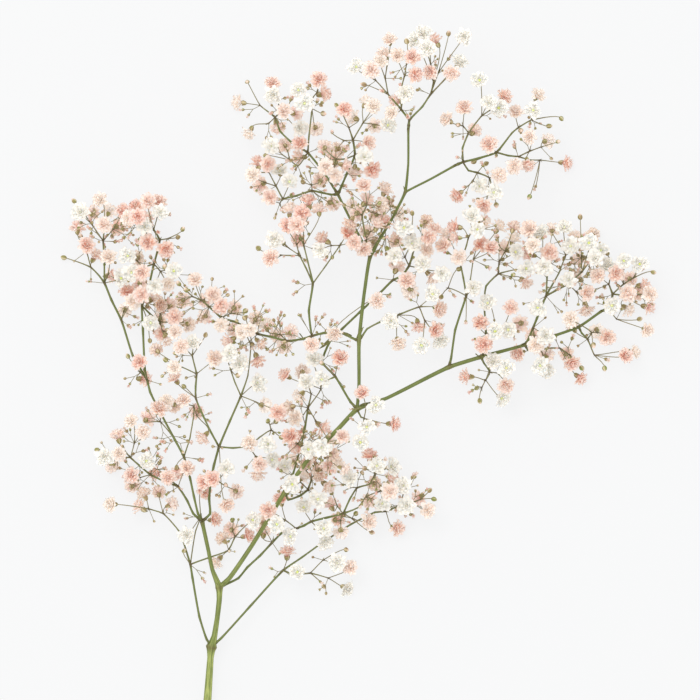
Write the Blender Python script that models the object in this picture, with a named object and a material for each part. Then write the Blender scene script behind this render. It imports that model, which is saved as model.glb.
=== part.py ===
"""Gypsophila stem: a cut, flowering stem of double baby's breath, lying on a table.

The thick stem with its main branches is one solid. Each flowering side spray is a solid of its
own: twigs, flower heads and buds grown together. +Z is up, the cut end points to -Y.
"""
import math
import random

import bmesh
import bpy
import numpy as np
from mathutils import Vector
from mathutils.bvhtree import BVHTree

# Routes and flower heads are laid out on a sheet ruled in half millimetres: x runs right and
# y runs down the sheet, both in ruled steps. Heights are steps above the table.
STEP_MM = 0.5
REST_X = 304
REST_Y = 371
MM = 0.001

# Gaps in millimetres: a spray's foot from the stem, and the room kept round twigs, heads and forks
SPRAY_GAP = 0.3
TWIG_ROOM = 0.45
HEAD_ROOM = 0.35
KNOT_ROOM = 0.2

# Radii in millimetres
TWIG_R = 0.42
PEDICEL_R = 0.38
KNOT_R = 1.0
# Radii as shares of a twig's
FOOT_SHARE = 1.3
START_SHARE = 1.2
ROOT_TWIG_SHARE = 1.15
FINE_TWIG_SHARE = 0.95
LIMB_SHARE = 1.1

# Lengths along a twig, in millimetres: its foot and, where twigs share a start, their fork,
# both from the stem's axis; then the shortest flower stalk and the shortest twig
FOOT_OUT = 1.6
START_OUT = 4.2
LEAST_STALK = 3.6
LEAST_TWIG = 4.2
FOOT_STEP = 0.05
LOWEST_KNOT = 1.5

STEM_SIDES = 6
TWIG_SIDES = 3
CUT_SLOPE = 0.9
LEAST_FORK_ANGLE = math.radians(24.0)
FORK_SLACK = 1.15
FORK_REACH = 1.2
HEAD_TRIES = 160
FORK_TRIES = 80
LABEL_STEP = 10000
WIDE_OPEN = 99.0
RIM_TURNS = [math.radians(60.0 * spoke) for spoke in range(6)]
SEED = 20

PINK, CREAM, WHITE, BACK, SMALL, BUD = "pink", "cream", "white", "back", "small", "bud"
HEAD_R = {PINK: 4.3, CREAM: 4.1, WHITE: 4.6, BACK: 3.9, SMALL: 2.6, BUD: 1.45}
# How far a head's place may lie above its fork: lowest and highest, millimetres
HEAD_LIFT = {
    PINK: (-13.0, 17.0),
    CREAM: (-14.0, 16.0),
    WHITE: (-2.0, 20.0),
    BACK: (-20.0, 8.0),
    SMALL: (-10.0, 12.0),
    BUD: (-9.0, 9.0),
}
# Shares of a head's radius: the spread of sizes, the least height of its centre over the table
# and how far behind its centre the stalk ends
HEAD_SPREAD = (0.92, 1.06)
LEAST_HEIGHT = 0.85
CALYX_DEPTH = 0.95
DOWN = np.array([0.0, 0.0, -1.0])
# How strongly a head turns up to the light, against the way its stalk points
HEAD_RISE = {PINK: 0.7, CREAM: 0.6, WHITE: 1.5, BACK: -0.9, SMALL: 0.5, BUD: 0.1}
# Cosines of the sharpest angle between a head's axis and its stalk, and what it is turned back to
LEAST_NOD = 0.25
NOD_BACK = 0.6
LEAST_BEND = 0.05
# A fork's place on the way to its heads, as a share of the way, and its rise in millimetres
FORK_WAY = (0.42, 0.58)
FORK_LIFT = (-4.0, 6.0)

# Rim of each kind of head, as shares of its radius: the count of its points, the radii of its
# petal tips and notches, their heights and the crown's, all from the head's centre
HEAD_FORM = {
    PINK: (8, 1.0, 0.8, -0.05, 0.40, 0.80),
    CREAM: (8, 1.0, 0.8, -0.05, 0.40, 0.80),
    WHITE: (10, 1.0, 0.70, 0.12, -0.05, 0.30),
    BACK: (8, 1.0, 0.8, 0.0, 0.38, 0.76),
    SMALL: (6, 0.8, 0.55, 0.35, 0.30, 0.75),
    BUD: (4, 0.85, 0.85, -0.1, -0.1, 1.0),
}

P, C, W, T, H, B = PINK, CREAM, WHITE, BACK, SMALL, BUD

# The thick stem: (x, y, height, radius) in ruled steps, from the cut end upwards
STEM = {
    "trunk": (None, [(190, 862, 3.4, 4.3), (198, 782, 7, 4.2), (207, 700, 13, 4.0), (210, 659, 20, 3.9),
                     (211, 648, 22, 4.6), (214, 637, 25, 3.7), (217, 618, 29, 3.4), (219, 600, 32, 3.5),
                     (219, 588, 34, 3.9)]),
    "left_bough": ("trunk", [(212, 570, 38, 2.4), (208, 550, 42, 2.3), (202, 522, 46, 2.4)]),
    "right_bough": ("trunk", [(229, 579, 38, 2.8), (251, 547, 44, 2.6), (285, 492, 58, 2.6),
                              (310, 457, 68, 2.6), (338, 429, 76, 2.6), (357, 409, 82, 2.7)]),
    "leader": ("right_bough", [(359, 385, 86, 2.0), (359, 341, 91, 2.2), (364, 295, 96, 2.0),
                               (370, 257, 100, 2.1)]),
    "long_arm": ("right_bough", [(387, 398, 78, 2.1), (449, 367, 66, 2.5), (481, 357, 60, 2.3),
                                 (525, 345, 54, 1.8), (579, 327, 50, 1.6), (602, 311, 47, 1.5)]),
    "crown_arm": ("leader", [(392, 219, 105, 1.5), (405, 193, 109, 1.7)]),
    "crown": ("crown_arm", [(408, 165, 112, 1.3), (408, 130, 116, 1.4)]),
    "east_arm": ("crown_arm", [(430, 180, 104, 1.3), (455, 166, 100, 1.4)]),
    "west_arm": ("leader", [(350, 219, 95, 1.4), (338, 195, 91, 1.5)]),
}

# Each spray: the stem place it grows from, then its twigs. A twig: the twig it grows from, its
# route in ruled steps, and the heads that spread from its end. A head: its kind and place, and
# its height where it is one of those that bear on the table.
SPRAYS = {
    "low_left_spray": ((209, 648, 22), {
        "a": (None, [(206, 640, 26), (199, 618, 29), (192, 578, 34), (190, 565, 36)], [(B, 184, 551)]),
        "b": ("a", [(179, 532, 38), (163, 514, 38)],
              [(T, 143, 495), (T, 158, 493), (P, 139, 507), (C, 111, 504), (P, 171, 505)]),
        "c": ("a", [(195, 532, 30), (200, 518, 30)], [(P, 204, 492), (P, 214, 520), (W, 186, 535)]),
        "d": ("a", [(209, 558, 34), (228, 551, 32)],
              [(T, 222, 539), (T, 230, 531), (P, 247, 536), (P, 216, 563), (W, 253, 520), (B, 232, 521)]),
    }),
    "left_spray": ((202, 522, 46), {
        "a": (None, [(193, 514, 42), (187, 501, 42), (178, 487, 42)],
              [(P, 168, 478), (P, 155, 474), (P, 187, 468)]),
        "b": ("a", [(165, 482, 38), (150, 475, 36)],
              [(P, 131, 475), (T, 131, 486), (W, 147, 461), (B, 159, 463)]),
        "c": ("b", [(139, 466, 34), (130, 458, 32)],
              [(P, 117, 437), (C, 131, 421), (C, 143, 432), (C, 118, 454), (W, 105, 457),
               (T, 110, 466), (B, 96, 450)]),
    }),
    "far_left_spray": ((202, 520, 47), {
        "a": (None, [(198, 514, 56), (194, 497, 58), (190, 478, 58), (184, 457, 58)], [(P, 177, 472)]),
        "b": ("a", [(190, 438, 62), (194, 406, 66)],
              [(P, 203, 438), (P, 197, 411), (T, 184, 400), (T, 174, 406)]),
        "c": ("a", [(172, 436, 44), (160, 422, 40)], [(P, 159, 409), (C, 166, 402), (P, 147, 418)]),
        "d": ("a", [(175, 440, 60), (160, 412, 58), (150, 392, 56), (147, 380, 56)],
              [(P, 144, 378), (P, 140, 362), (B, 128, 357)]),
        "e": ("d", [(133, 357, 50), (121, 320, 44)], [(T, 124, 310), (P, 127, 291), (C, 133, 302)]),
        "f": ("e", [(111, 300, 40), (104, 283, 38)],
              [(P, 109, 275), (C, 108, 257), (W, 121, 278)]),
        "g": ("f", [(98, 275, 30), (90, 267, 26)],
              [(B, 62, 257), (P, 94, 255), (P, 86, 245), (B, 80, 236), (P, 76, 227, 6.6)]),
        "h": ("f", [(104, 262, 48), (103, 241, 52)],
              [(B, 74, 201), (C, 100, 200), (W, 81, 212), (T, 92, 212), (C, 109, 210), (P, 104, 225),
               (P, 117, 227), (P, 124, 211)]),
        "i": ("d", [(145, 371, 60), (143, 330, 62), (142, 306, 62)],
              [(P, 141, 295), (B, 150, 341), (W, 151, 323)]),
        "j": ("i", [(148, 290, 64), (154, 264, 66)],
              [(W, 155, 287), (P, 143, 273), (W, 132, 273), (T, 139, 284), (W, 128, 256), (T, 136, 257),
               (B, 165, 267), (W, 175, 271), (C, 168, 284)]),
        "k": ("j", [(158, 250, 68), (160, 240, 70)],
              [(P, 148, 243), (P, 166, 249), (B, 183, 230), (B, 178, 237)]),
        "m": ("k", [(154, 230, 72)],
              [(P, 149, 202), (P, 159, 202), (W, 161, 213), (P, 146, 219), (W, 145, 227), (P, 136, 207),
               (P, 139, 220), (C, 129, 219)]),
        "n": ("i", [(150, 314, 52), (160, 322, 50)],
              [(P, 153, 297), (T, 160, 305), (T, 170, 305), (T, 159, 319), (P, 175, 317), (P, 161, 333),
               (T, 167, 340), (T, 188, 325)]),
    }),
    "left_inner_spray": ((202, 520, 47), {
        "a": (None, [(210, 514, 48), (209, 499, 54), (211, 480, 58)],
              [(P, 213, 478), (P, 204, 482), (T, 236, 492), (B, 226, 485), (W, 226, 468)]),
        "b": ("a", [(214, 465, 60), (219, 447, 62)], [(P, 227, 503)]),
        "c": ("b", [(211, 432, 68), (203, 415, 74), (196, 398, 78)], [(B, 184, 387), (P, 175, 378)]),
        "d": ("c", [(196, 386, 82), (197, 374, 84)],
              [(P, 215, 358), (C, 175, 367), (W, 193, 343), (P, 182, 347), (T, 157, 350), (C, 175, 332),
               (B, 206, 335), (B, 166, 360)]),
        "e": ("b", [(230, 421, 68), (241, 396, 74)],
              [(W, 258, 383), (P, 264, 405), (P, 278, 412)]),
        "f": ("e", [(235, 382, 78), (231, 370, 80)],
              [(W, 240, 363), (W, 230, 354), (B, 224, 358), (B, 238, 376)]),
        "g": ("e", [(248, 376, 80), (251, 345, 84)], [(P, 258, 360), (C, 243, 332), (B, 262, 347)]),
        "h": ("b", [(233, 448, 60), (249, 446, 58)],
              [(P, 250, 443), (W, 272, 460), (P, 260, 464), (P, 257, 474)]),
        "i": ("h", [(260, 437, 62), (271, 430, 64)],
              [(B, 268, 421), (B, 276, 422), (B, 281, 437), (W, 268, 444)]),
    }),
    "centre_spray": ((285, 492, 58), {
        "a": (None, [(293, 474, 52), (301, 446, 42), (305, 427, 38), (308, 408, 36)],
              [(T, 289, 408), (C, 295, 418), (P, 300, 434)]),
        "b": ("a", [(311, 394, 30)], [(P, 299, 396), (W, 306, 382), (T, 302, 372, 0)]),
        "c": ("a", [(321, 389, 44)], [(W, 321, 379), (W, 314, 359), (P, 285, 375)]),
        "d": ("a", [(315, 420, 36)], [(P, 323, 427), (T, 330, 441)]),
    }),
    "thicket_spray": ((285, 492, 58), {
        "a": (None, [(288, 500, 48), (300, 496, 38), (308, 490, 34)],
              [(C, 303, 477), (W, 292, 484), (W, 318, 499), (W, 284, 466)]),
        "b": ("a", [(312, 478, 34)],
              [(T, 306, 463), (T, 292, 462), (T, 320, 475), (P, 328, 486), (P, 330, 466), (T, 318, 470)]),
    }),
    "upper_thicket_spray": ((310, 457, 68), {
        "a": (None, [(305, 450, 76), (303, 446, 86)], [(P, 297, 447), (W, 309, 449), (P, 290, 436)]),
        "b": ("a", [(316, 444, 94)],
              [(W, 322, 447), (T, 333, 454), (P, 342, 436), (T, 345, 470), (C, 336, 462)]),
    }),
    "low_mid_spray": ((219, 588, 34), {
        "a": (None, [(238, 579, 26), (247, 568, 30), (260, 556, 34), (272, 543, 38)],
              [(P, 264, 532), (T, 262, 521)]),
        "b": ("a", [(282, 533, 38), (296, 529, 36)],
              [(W, 290, 536), (W, 277, 524), (P, 268, 510), (P, 281, 500)]),
        "c": ("b", [(304, 526, 34), (311, 522, 34)], [(W, 304, 507), (W, 324, 528), (W, 325, 543)]),
        "d": ("c", [(327, 518, 36), (343, 514, 38)],
              [(P, 337, 520), (P, 330, 505), (T, 341, 533), (B, 331, 493)]),
        "e": ("d", [(350, 499, 44), (357, 488, 48)],
              [(H, 345, 492), (W, 350, 478), (H, 353, 500)]),
        "f": ("e", [(370, 484, 52), (375, 474, 54)],
              [(W, 377, 465), (P, 370, 456), (W, 393, 467), (T, 374, 484), (B, 365, 468)]),
        "g": ("d", [(358, 508, 38), (366, 497, 40)],
              [(T, 369, 502), (W, 383, 504), (P, 390, 491), (P, 392, 480)]),
        "h": ("d", [(352, 519, 30)], [(P, 369, 522), (B, 372, 533), (B, 356, 514)]),
    }),
    "low_right_spray": ((213, 645, 23), {
        "a": (None, [(221, 639, 24), (250, 607, 22), (283, 571, 22)], [(P, 287, 553)]),
        "b": ("a", [(302, 558, 20), (320, 545, 19), (351, 525, 18), (375, 513, 18), (386, 512, 18)],
              [(P, 397, 529)]),
        "c": ("b", [(400, 506, 20)],
              [(W, 403, 485), (P, 419, 499), (W, 406, 506), (C, 428, 511), (H, 414, 516),
               (B, 430, 491), (H, 414, 475), (B, 434, 500)]),
        "d": ("a", [(294, 576, 20), (310, 574, 18)], [(W, 297, 572), (B, 324, 588)]),
        "e": ("d", [(323, 561, 18)], [(B, 346, 550), (W, 337, 563)]),
        "f": ("d", [(328, 579, 16)], [(P, 350, 569), (W, 347, 590, 5.8)]),
    }),
    "near_spray": ((357, 409, 82), {
        "a": (None, [(361, 417, 90), (364, 418, 96)],
              [(P, 362, 393), (W, 376, 405), (W, 366, 427), (W, 360, 442), (P, 394, 424)]),
    }),
    "middle_spray": ((357, 409, 82), {
        "a": (None, [(350, 401, 76), (335, 376, 66)], [(P, 340, 358), (B, 321, 364)]),
        "b": ("a", [(322, 362, 58), (330, 341, 58), (342, 329, 58), (361, 311, 62), (379, 294, 66)],
              [(P, 377, 301), (C, 333, 333)]),
        "c": ("b", [(393, 280, 68)], [(P, 397, 267), (P, 407, 281), (C, 410, 291)]),
        "d": ("c", [(402, 276, 72), (409, 266, 76)],
              [(W, 394, 256), (T, 396, 240), (W, 413, 244), (W, 423, 264), (P, 432, 277), (W, 442, 274)]),
        "e": ("d", [(414, 248, 82)],
              [(P, 426, 250), (P, 428, 238), (P, 434, 230), (T, 426, 221), (W, 405, 232), (B, 412, 214)]),
    }),
    "north_west_spray": ((359, 341, 91), {
        "a": (None, [(352, 338, 92), (342, 333, 92), (324, 333, 94), (312, 336, 96)], [(P, 312, 345)]),
        "b": ("a", [(303, 339, 98), (287, 341, 100)],
              [(T, 291, 332), (T, 284, 346), (T, 276, 335), (C, 266, 325)]),
        "c": ("b", [(272, 337, 98), (258, 334, 96)],
              [(C, 250, 330), (T, 261, 343), (P, 229, 341), (T, 234, 330), (B, 245, 318), (T, 256, 318)]),
        "d": ("c", [(236, 322, 92), (222, 318, 90)],
              [(C, 222, 325), (P, 222, 306), (T, 234, 308), (P, 214, 295), (T, 206, 300), (T, 205, 316),
               (P, 196, 280), (B, 246, 311), (B, 187, 290), (T, 183, 300), (B, 180, 284)]),
        "e": ("a", [(309, 311, 100), (313, 284, 104)], []),
        "f": ("e", [(306, 268, 106), (300, 256, 106)],
              [(P, 271, 258), (B, 259, 249), (W, 275, 240), (B, 284, 244), (P, 288, 226), (P, 299, 240)]),
        "g": ("e", [(308, 262, 112), (304, 246, 114)],
              [(P, 297, 226), (P, 308, 202), (P, 290, 210), (P, 302, 214), (T, 319, 211)]),
        "h": ("e", [(326, 266, 108), (340, 246, 110)],
              [(P, 354, 244), (P, 348, 234), (P, 323, 240), (W, 321, 251)]),
    }),
    "east_inner_spray": ((359, 341, 91), {
        "a": (None, [(367, 329, 92), (380, 322, 90), (398, 315, 88)],
              [(W, 390, 321), (P, 398, 343), (P, 418, 326)]),
        "b": ("a", [(419, 307, 86)],
              [(W, 432, 294), (P, 439, 309), (P, 435, 330), (W, 440, 341), (W, 421, 346)]),
    }),
    "over_tangle_spray": ((370, 257, 100), {
        "a": (None, [(368, 252, 110), (366, 240, 120)], [(P, 363, 249), (T, 377, 226), (T, 367, 232)]),
        "b": ("a", [(362, 216, 126)],
              [(P, 364, 187), (P, 366, 201), (T, 357, 214), (T, 350, 223), (T, 381, 206)]),
    }),
    "under_tangle_spray": ((370, 257, 100), {
        "a": (None, [(374, 252, 92), (380, 238, 80)], [(T, 372, 243), (P, 385, 222), (B, 387, 249)]),
        "b": ("a", [(384, 216, 72)],
              [(P, 398, 213), (T, 386, 203), (T, 376, 215), (T, 352, 206), (C, 385, 189), (P, 400, 226)]),
    }),
    "west_spray": ((338, 195, 91), {
        "a": (None, [(333, 187, 88), (324, 173, 82), (308, 153, 74)], [(P, 299, 157), (P, 300, 144)]),
        "b": ("a", [(309, 137, 78), (312, 109, 80)],
              [(P, 324, 94), (P, 319, 80), (W, 304, 104), (T, 316, 129), (B, 323, 114), (W, 298, 91)]),
        "c": ("a", [(291, 142, 62), (280, 131, 54), (275, 117, 48)],
              [(P, 277, 126), (P, 272, 83), (W, 273, 95), (P, 284, 112), (P, 296, 112), (C, 249, 132),
               (W, 300, 128)]),
        "d": ("c", [(260, 105, 38)], [(B, 247, 82), (C, 238, 101, 6.6)]),
        "e": ("a", [(298, 166, 60), (290, 160, 56)], [(B, 266, 155), (W, 271, 147), (T, 285, 145)]),
    }),
    "west_side_spray": ((338, 195, 91), {
        "a": (None, [(331, 195, 88), (322, 193, 84), (312, 191, 78)],
              [(T, 320, 180), (B, 303, 182), (P, 332, 203)]),
        "b": ("a", [(296, 196, 66), (283, 199, 58)], [(W, 290, 182), (B, 284, 211), (P, 270, 197)]),
        "c": ("b", [(276, 186, 50)],
              [(P, 268, 164), (P, 258, 162), (C, 253, 175), (P, 260, 184), (W, 280, 170)]),
    }),
    "north_spray": ((338, 195, 91), {
        "a": (None, [(341, 188, 94), (347, 174, 97), (355, 156, 100)],
              [(P, 372, 170), (P, 355, 172), (W, 364, 158)]),
        "b": ("a", [(353, 141, 104)], [(P, 368, 144), (H, 332, 133), (T, 338, 150)]),
        "c": ("b", [(349, 129, 104)], [(C, 353, 118), (P, 345, 112), (B, 337, 106)]),
        "d": ("b", [(363, 124, 108)], [(C, 366, 103), (T, 375, 126), (W, 388, 126), (C, 373, 108)]),
        "e": ("a", [(345, 160, 108), (336, 160, 112)],
              [(P, 333, 161), (T, 325, 148), (P, 326, 168), (C, 335, 177), (T, 345, 166)]),
    }),
    "crown_spray": ((408, 130, 116), {
        "a": (None, [(404, 120, 118), (401, 111, 120)], [(P, 396, 102), (C, 391, 115), (W, 402, 94)]),
        "b": ("a", [(388, 96, 118)], [(B, 364, 86), (P, 371, 72), (W, 356, 68)]),
        "c": ("b", [(385, 80, 120)], [(C, 384, 56), (C, 389, 42), (C, 380, 64)]),
        "d": ("a", [(401, 90, 128), (404, 78, 130)],
              [(C, 397, 58), (P, 412, 60), (P, 415, 77), (B, 406, 44)]),
        "e": (None, [(415, 118, 116), (422, 108, 117), (430, 96, 118)], [(P, 451, 75), (W, 459, 63)]),
        "f": ("e", [(433, 84, 120)],
              [(P, 430, 73), (W, 426, 51), (W, 414, 42), (W, 423, 36), (P, 435, 42)]),
        "g": ("e", [(438, 74, 112)], [(B, 448, 35), (W, 463, 40)]),
    }),
    "east_spray": ((455, 166, 100), {
        "a": (None, [(458, 158, 103), (462, 149, 105), (468, 134, 106)],
              [(P, 474, 131), (P, 463, 109), (C, 447, 120), (B, 458, 126)]),
        "b": ("a", [(481, 117, 108)], [(W, 478, 82), (W, 488, 104), (W, 498, 110), (P, 504, 98)]),
        "c": (None, [(463, 164, 98), (478, 159, 94), (496, 153, 88)], [(P, 488, 145), (B, 474, 162)]),
        "d": ("c", [(512, 133, 82), (518, 128, 80)],
              [(P, 516, 112), (B, 520, 131), (W, 532, 111), (C, 538, 96), (B, 548, 127), (B, 561, 119)]),
        "e": ("c", [(508, 156, 80), (518, 157, 76)],
              [(P, 514, 167), (P, 527, 164), (C, 529, 138), (C, 548, 140), (B, 557, 142)]),
        "f": ("e", [(530, 160, 62), (540, 160, 54)],
              [(P, 567, 162, 6.6), (H, 535, 189), (B, 529, 197)]),
        "g": (None, [(461, 170, 94), (468, 171, 90), (477, 173, 84)],
              [(W, 479, 186), (P, 457, 195), (B, 486, 164)]),
        "h": ("g", [(489, 178, 78)], [(C, 499, 176), (W, 494, 193), (P, 483, 206), (B, 496, 205)]),
    }),
    "east_upper_spray": ((449, 367, 66), {
        "a": (None, [(451, 358, 70), (455, 330, 78), (466, 296, 84)], [(H, 465, 323), (W, 473, 288)]),
        "b": ("a", [(463, 278, 86), (460, 264, 88)], [(P, 458, 258), (P, 443, 246), (C, 447, 235)]),
        "c": ("b", [(466, 246, 96), (468, 238, 98)],
              [(P, 454, 227), (T, 455, 238), (W, 471, 217), (C, 484, 222), (W, 476, 230)]),
        "d": ("a", [(470, 280, 84), (473, 260, 84)], [(P, 481, 245), (P, 490, 249), (C, 499, 227)]),
        "e": ("a", [(448, 288, 76)], [(B, 459, 269), (B, 441, 297)]),
    }),
    "east_low_spray": ((481, 357, 60), {
        "a": (None, [(484, 363, 54), (490, 372, 46)], [(W, 493, 361), (W, 506, 368), (P, 506, 385)]),
        "b": ("a", [(486, 380, 36)], [(P, 467, 377), (B, 477, 388), (W, 503, 399), (B, 480, 401)]),
    }),
    "east_mid_spray": ((481, 357, 60), {
        "a": (None, [(484, 349, 62), (486, 335, 60)], [(P, 483, 344), (P, 480, 323)]),
        "b": ("a", [(496, 330, 58)],
              [(W, 495, 331), (W, 508, 330), (W, 487, 303), (P, 511, 308), (P, 519, 324)]),
        "c": ("a", [(484, 300, 66), (486, 286, 68), (498, 274, 68)],
              [(W, 526, 269), (P, 526, 282), (B, 513, 275)]),
        "d": ("c", [(499, 262, 68)],
              [(P, 504, 248), (T, 514, 227), (C, 514, 239), (W, 516, 252), (H, 497, 236)]),
    }),
    "south_east_spray": ((525, 345, 54), {
        "a": (None, [(528, 340, 60), (533, 328, 64)], [(T, 533, 335), (W, 545, 336), (P, 536, 345)]),
        "b": ("a", [(537, 318, 62), (546, 296, 60)], [(W, 537, 308)]),
        "c": ("b", [(547, 278, 62), (547, 264, 64)],
              [(W, 544, 267), (P, 549, 252), (W, 540, 232), (P, 528, 229), (C, 532, 245), (P, 529, 254)]),
        "d": ("b", [(559, 273, 56), (566, 255, 52)],
              [(T, 553, 229), (W, 564, 227), (W, 570, 246), (P, 576, 238)]),
        "e": ("b", [(568, 284, 50)], [(P, 577, 278), (W, 568, 280), (P, 586, 293), (P, 586, 309)]),
        "f": ("e", [(582, 272, 44)],
              [(P, 580, 259), (W, 594, 258), (B, 581, 217), (T, 594, 234), (W, 588, 243), (W, 601, 250)]),
    }),
    "low_east_spray": ((525, 345, 54), {
        "a": (None, [(528, 350, 48), (541, 349, 42)],
              [(P, 519, 353), (P, 547, 355), (W, 540, 366), (W, 548, 369)]),
        "b": ("a", [(560, 348, 34)], [(T, 568, 354), (P, 573, 363), (B, 583, 368), (P, 581, 378)]),
    }),
    "south_tip_spray": ((579, 327, 50), {
        "a": (None, [(582, 333, 44), (588, 339, 38)],
              [(P, 607, 337), (C, 597, 331), (C, 570, 319), (C, 573, 327), (B, 594, 345)]),
        "b": ("a", [(595, 355, 32)], [(B, 605, 368), (P, 626, 356), (C, 635, 352)]),
    }),
    "east_tip_spray": ((602, 311, 47), {
        "a": (None, [(608, 303, 46), (613, 294, 46)],
              [(P, 597, 276), (H, 605, 287), (P, 616, 274), (W, 607, 266), (W, 612, 306)]),
        "b": ("a", [(624, 284, 44)],
              [(W, 622, 261), (W, 640, 264), (B, 653, 272), (T, 632, 278), (B, 608, 253)]),
        "c": ("a", [(626, 296, 36)],
              [(P, 628, 293), (T, 638, 293), (P, 645, 285), (P, 650, 294), (P, 629, 309),
               (P, 650, 307, 6.6)]),
        "d": (None, [(609, 316, 44), (617, 319, 40)], [(B, 640, 319), (C, 647, 330)]),
    }),
}


def sheet(x, y, height):
    """A place on the ruled sheet, in millimetres."""
    return np.array([(x - REST_X) * STEP_MM, (REST_Y - y) * STEP_MM, height * STEP_MM])


def unit(vector):
    """The vector's direction."""
    return vector / np.linalg.norm(vector)


def across(direction):
    """A direction square to the given one."""
    other = np.array([0.0, 0.0, 1.0]) if abs(direction[2]) < 0.8 else np.array([1.0, 0.0, 0.0])
    return unit(np.cross(other, direction))


def segment_gaps(a, b, starts, ends):
    """Distances from the segment a-b to each of the segments starts-ends."""
    d1 = b - a
    d2 = ends - starts
    r = a - starts
    aa = max(float(d1 @ d1), 1e-9)
    ee = np.maximum(np.einsum("ij,ij->i", d2, d2), 1e-9)
    f = np.einsum("ij,ij->i", d2, r)
    c = r @ d1
    bb = d2 @ d1
    den = aa * ee - bb * bb
    s = np.where(den > 1e-9, np.clip((bb * f - c * ee) / np.maximum(den, 1e-9), 0.0, 1.0), 0.0)
    t = np.clip((bb * s + f) / ee, 0.0, 1.0)
    s = np.clip((bb * t - c) / aa, 0.0, 1.0)
    apart = (a + s[:, None] * d1) - (starts + t[:, None] * d2)
    return np.sqrt(np.einsum("ij,ij->i", apart, apart))


class Space:
    """What is already laid out: round-ended rods and balls that later pieces keep clear of."""

    def __init__(self):
        self.starts = np.zeros((0, 3))
        self.ends = np.zeros((0, 3))
        self.radii = np.zeros(0)
        self.joints = np.zeros((0, 2), dtype=int)

    def add(self, a, b, radius, joints):
        self.starts = np.vstack([self.starts, a])
        self.ends = np.vstack([self.ends, b])
        self.radii = np.append(self.radii, radius)
        self.joints = np.vstack([self.joints, joints])

    def room(self, a, b, radius, joints=()):
        """The narrowest gap round a rod, leaving out what meets it at one of its joints."""
        gaps = segment_gaps(a, b, self.starts, self.ends) - self.radii - radius
        for joint in joints:
            gaps = np.where((self.joints == joint).any(axis=1), WIDE_OPEN, gaps)
        return float(gaps.min())


class Tree:
    """A branching body: joints, the rods between them and the heads at its tips."""

    def __init__(self, name, space):
        self.name = name
        self.space = space
        self.places = []
        self.radii = []
        self.rods = []
        self.heads = {}

    def joint(self, place, radius):
        self.places.append(np.array(place))
        self.radii.append(radius)
        return len(self.places) - 1

    def label(self, joint):
        """A number for a joint that no other tree's joint has."""
        return TREE_LABELS[self.name] * LABEL_STEP + joint

    def rod(self, a, b):
        self.rods.append((a, b))
        self.space.add(self.places[a], self.places[b], max(self.radii[a], self.radii[b]),
                       [self.label(a), self.label(b)])

    def limbs(self, joint):
        """Directions of the rods that leave a joint."""
        out = []
        for a, b in self.rods:
            if a == joint:
                out.append(unit(self.places[b] - self.places[a]))
            if b == joint:
                out.append(unit(self.places[a] - self.places[b]))
        return out

    def fork_open(self, joint, direction):
        """True where a new limb leaves a joint well apart from those already there."""
        return all(float(limb @ direction) < math.cos(LEAST_FORK_ANGLE) for limb in self.limbs(joint))


TREE_LABELS = {name: number for number, name in enumerate(["main_stem", *SPRAYS])}


def grow_stem(space):
    """The thick stem with its boughs and arms."""
    tree = Tree("main_stem", space)
    ends = {}
    for name, (parent, route) in STEM.items():
        last = ends.get(parent)
        for x, y, height, radius in route:
            here = tree.joint(sheet(x, y, height), radius * STEP_MM)
            if last is not None:
                tree.rod(last, here)
            last = here
        ends[name] = last
    return tree


def nearest_on_stem(stem, place):
    """The stem joint nearest a place."""
    return min(range(len(stem.places)), key=lambda j: float(np.linalg.norm(stem.places[j] - place)))


def lay_twigs(name, root, twigs, space, stem):
    """The hand-laid twigs of a spray. A spray with several root twigs starts from one joint."""
    tree = Tree(name, space)
    ends = {}
    seat = stem.places[nearest_on_stem(stem, sheet(*root))]
    roots = [twig for twig, (parent, _, _) in twigs.items() if parent is None]
    shared = len(roots) > 1
    if shared:
        aim = unit(sum(unit(sheet(*twigs[twig][1][1]) - seat) for twig in roots))
    else:
        aim = unit(sheet(*twigs[roots[0]][1][0]) - seat)
    start = tree.joint(seat + aim * FOOT_OUT, TWIG_R * FOOT_SHARE)
    if shared:
        fork = tree.joint(seat + aim * START_OUT, TWIG_R * START_SHARE)
        tree.rod(start, fork)
        start = fork
    for twig, (parent, route, _) in twigs.items():
        last = ends[parent] if parent else start
        places = route[1:] if parent is None and shared else route
        radius = TWIG_R if parent else TWIG_R * ROOT_TWIG_SHARE
        for place in places:
            here = tree.joint(sheet(*place), radius)
            tree.rod(last, here)
            last = here
        ends[twig] = last
    tree.seat = seat
    return tree, ends


def head_axis(kind, stalk, draw):
    """The way a head faces: along its stalk, turned up or down by its kind."""
    lean = np.array([draw.gauss(0, 0.3), draw.gauss(0, 0.3), draw.gauss(0, 0.2) + HEAD_RISE[kind]])
    axis = unit(stalk + lean)
    along = float(axis @ stalk)
    if along < LEAST_NOD:
        axis = unit(axis + stalk * (NOD_BACK - along))
    return axis


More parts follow.
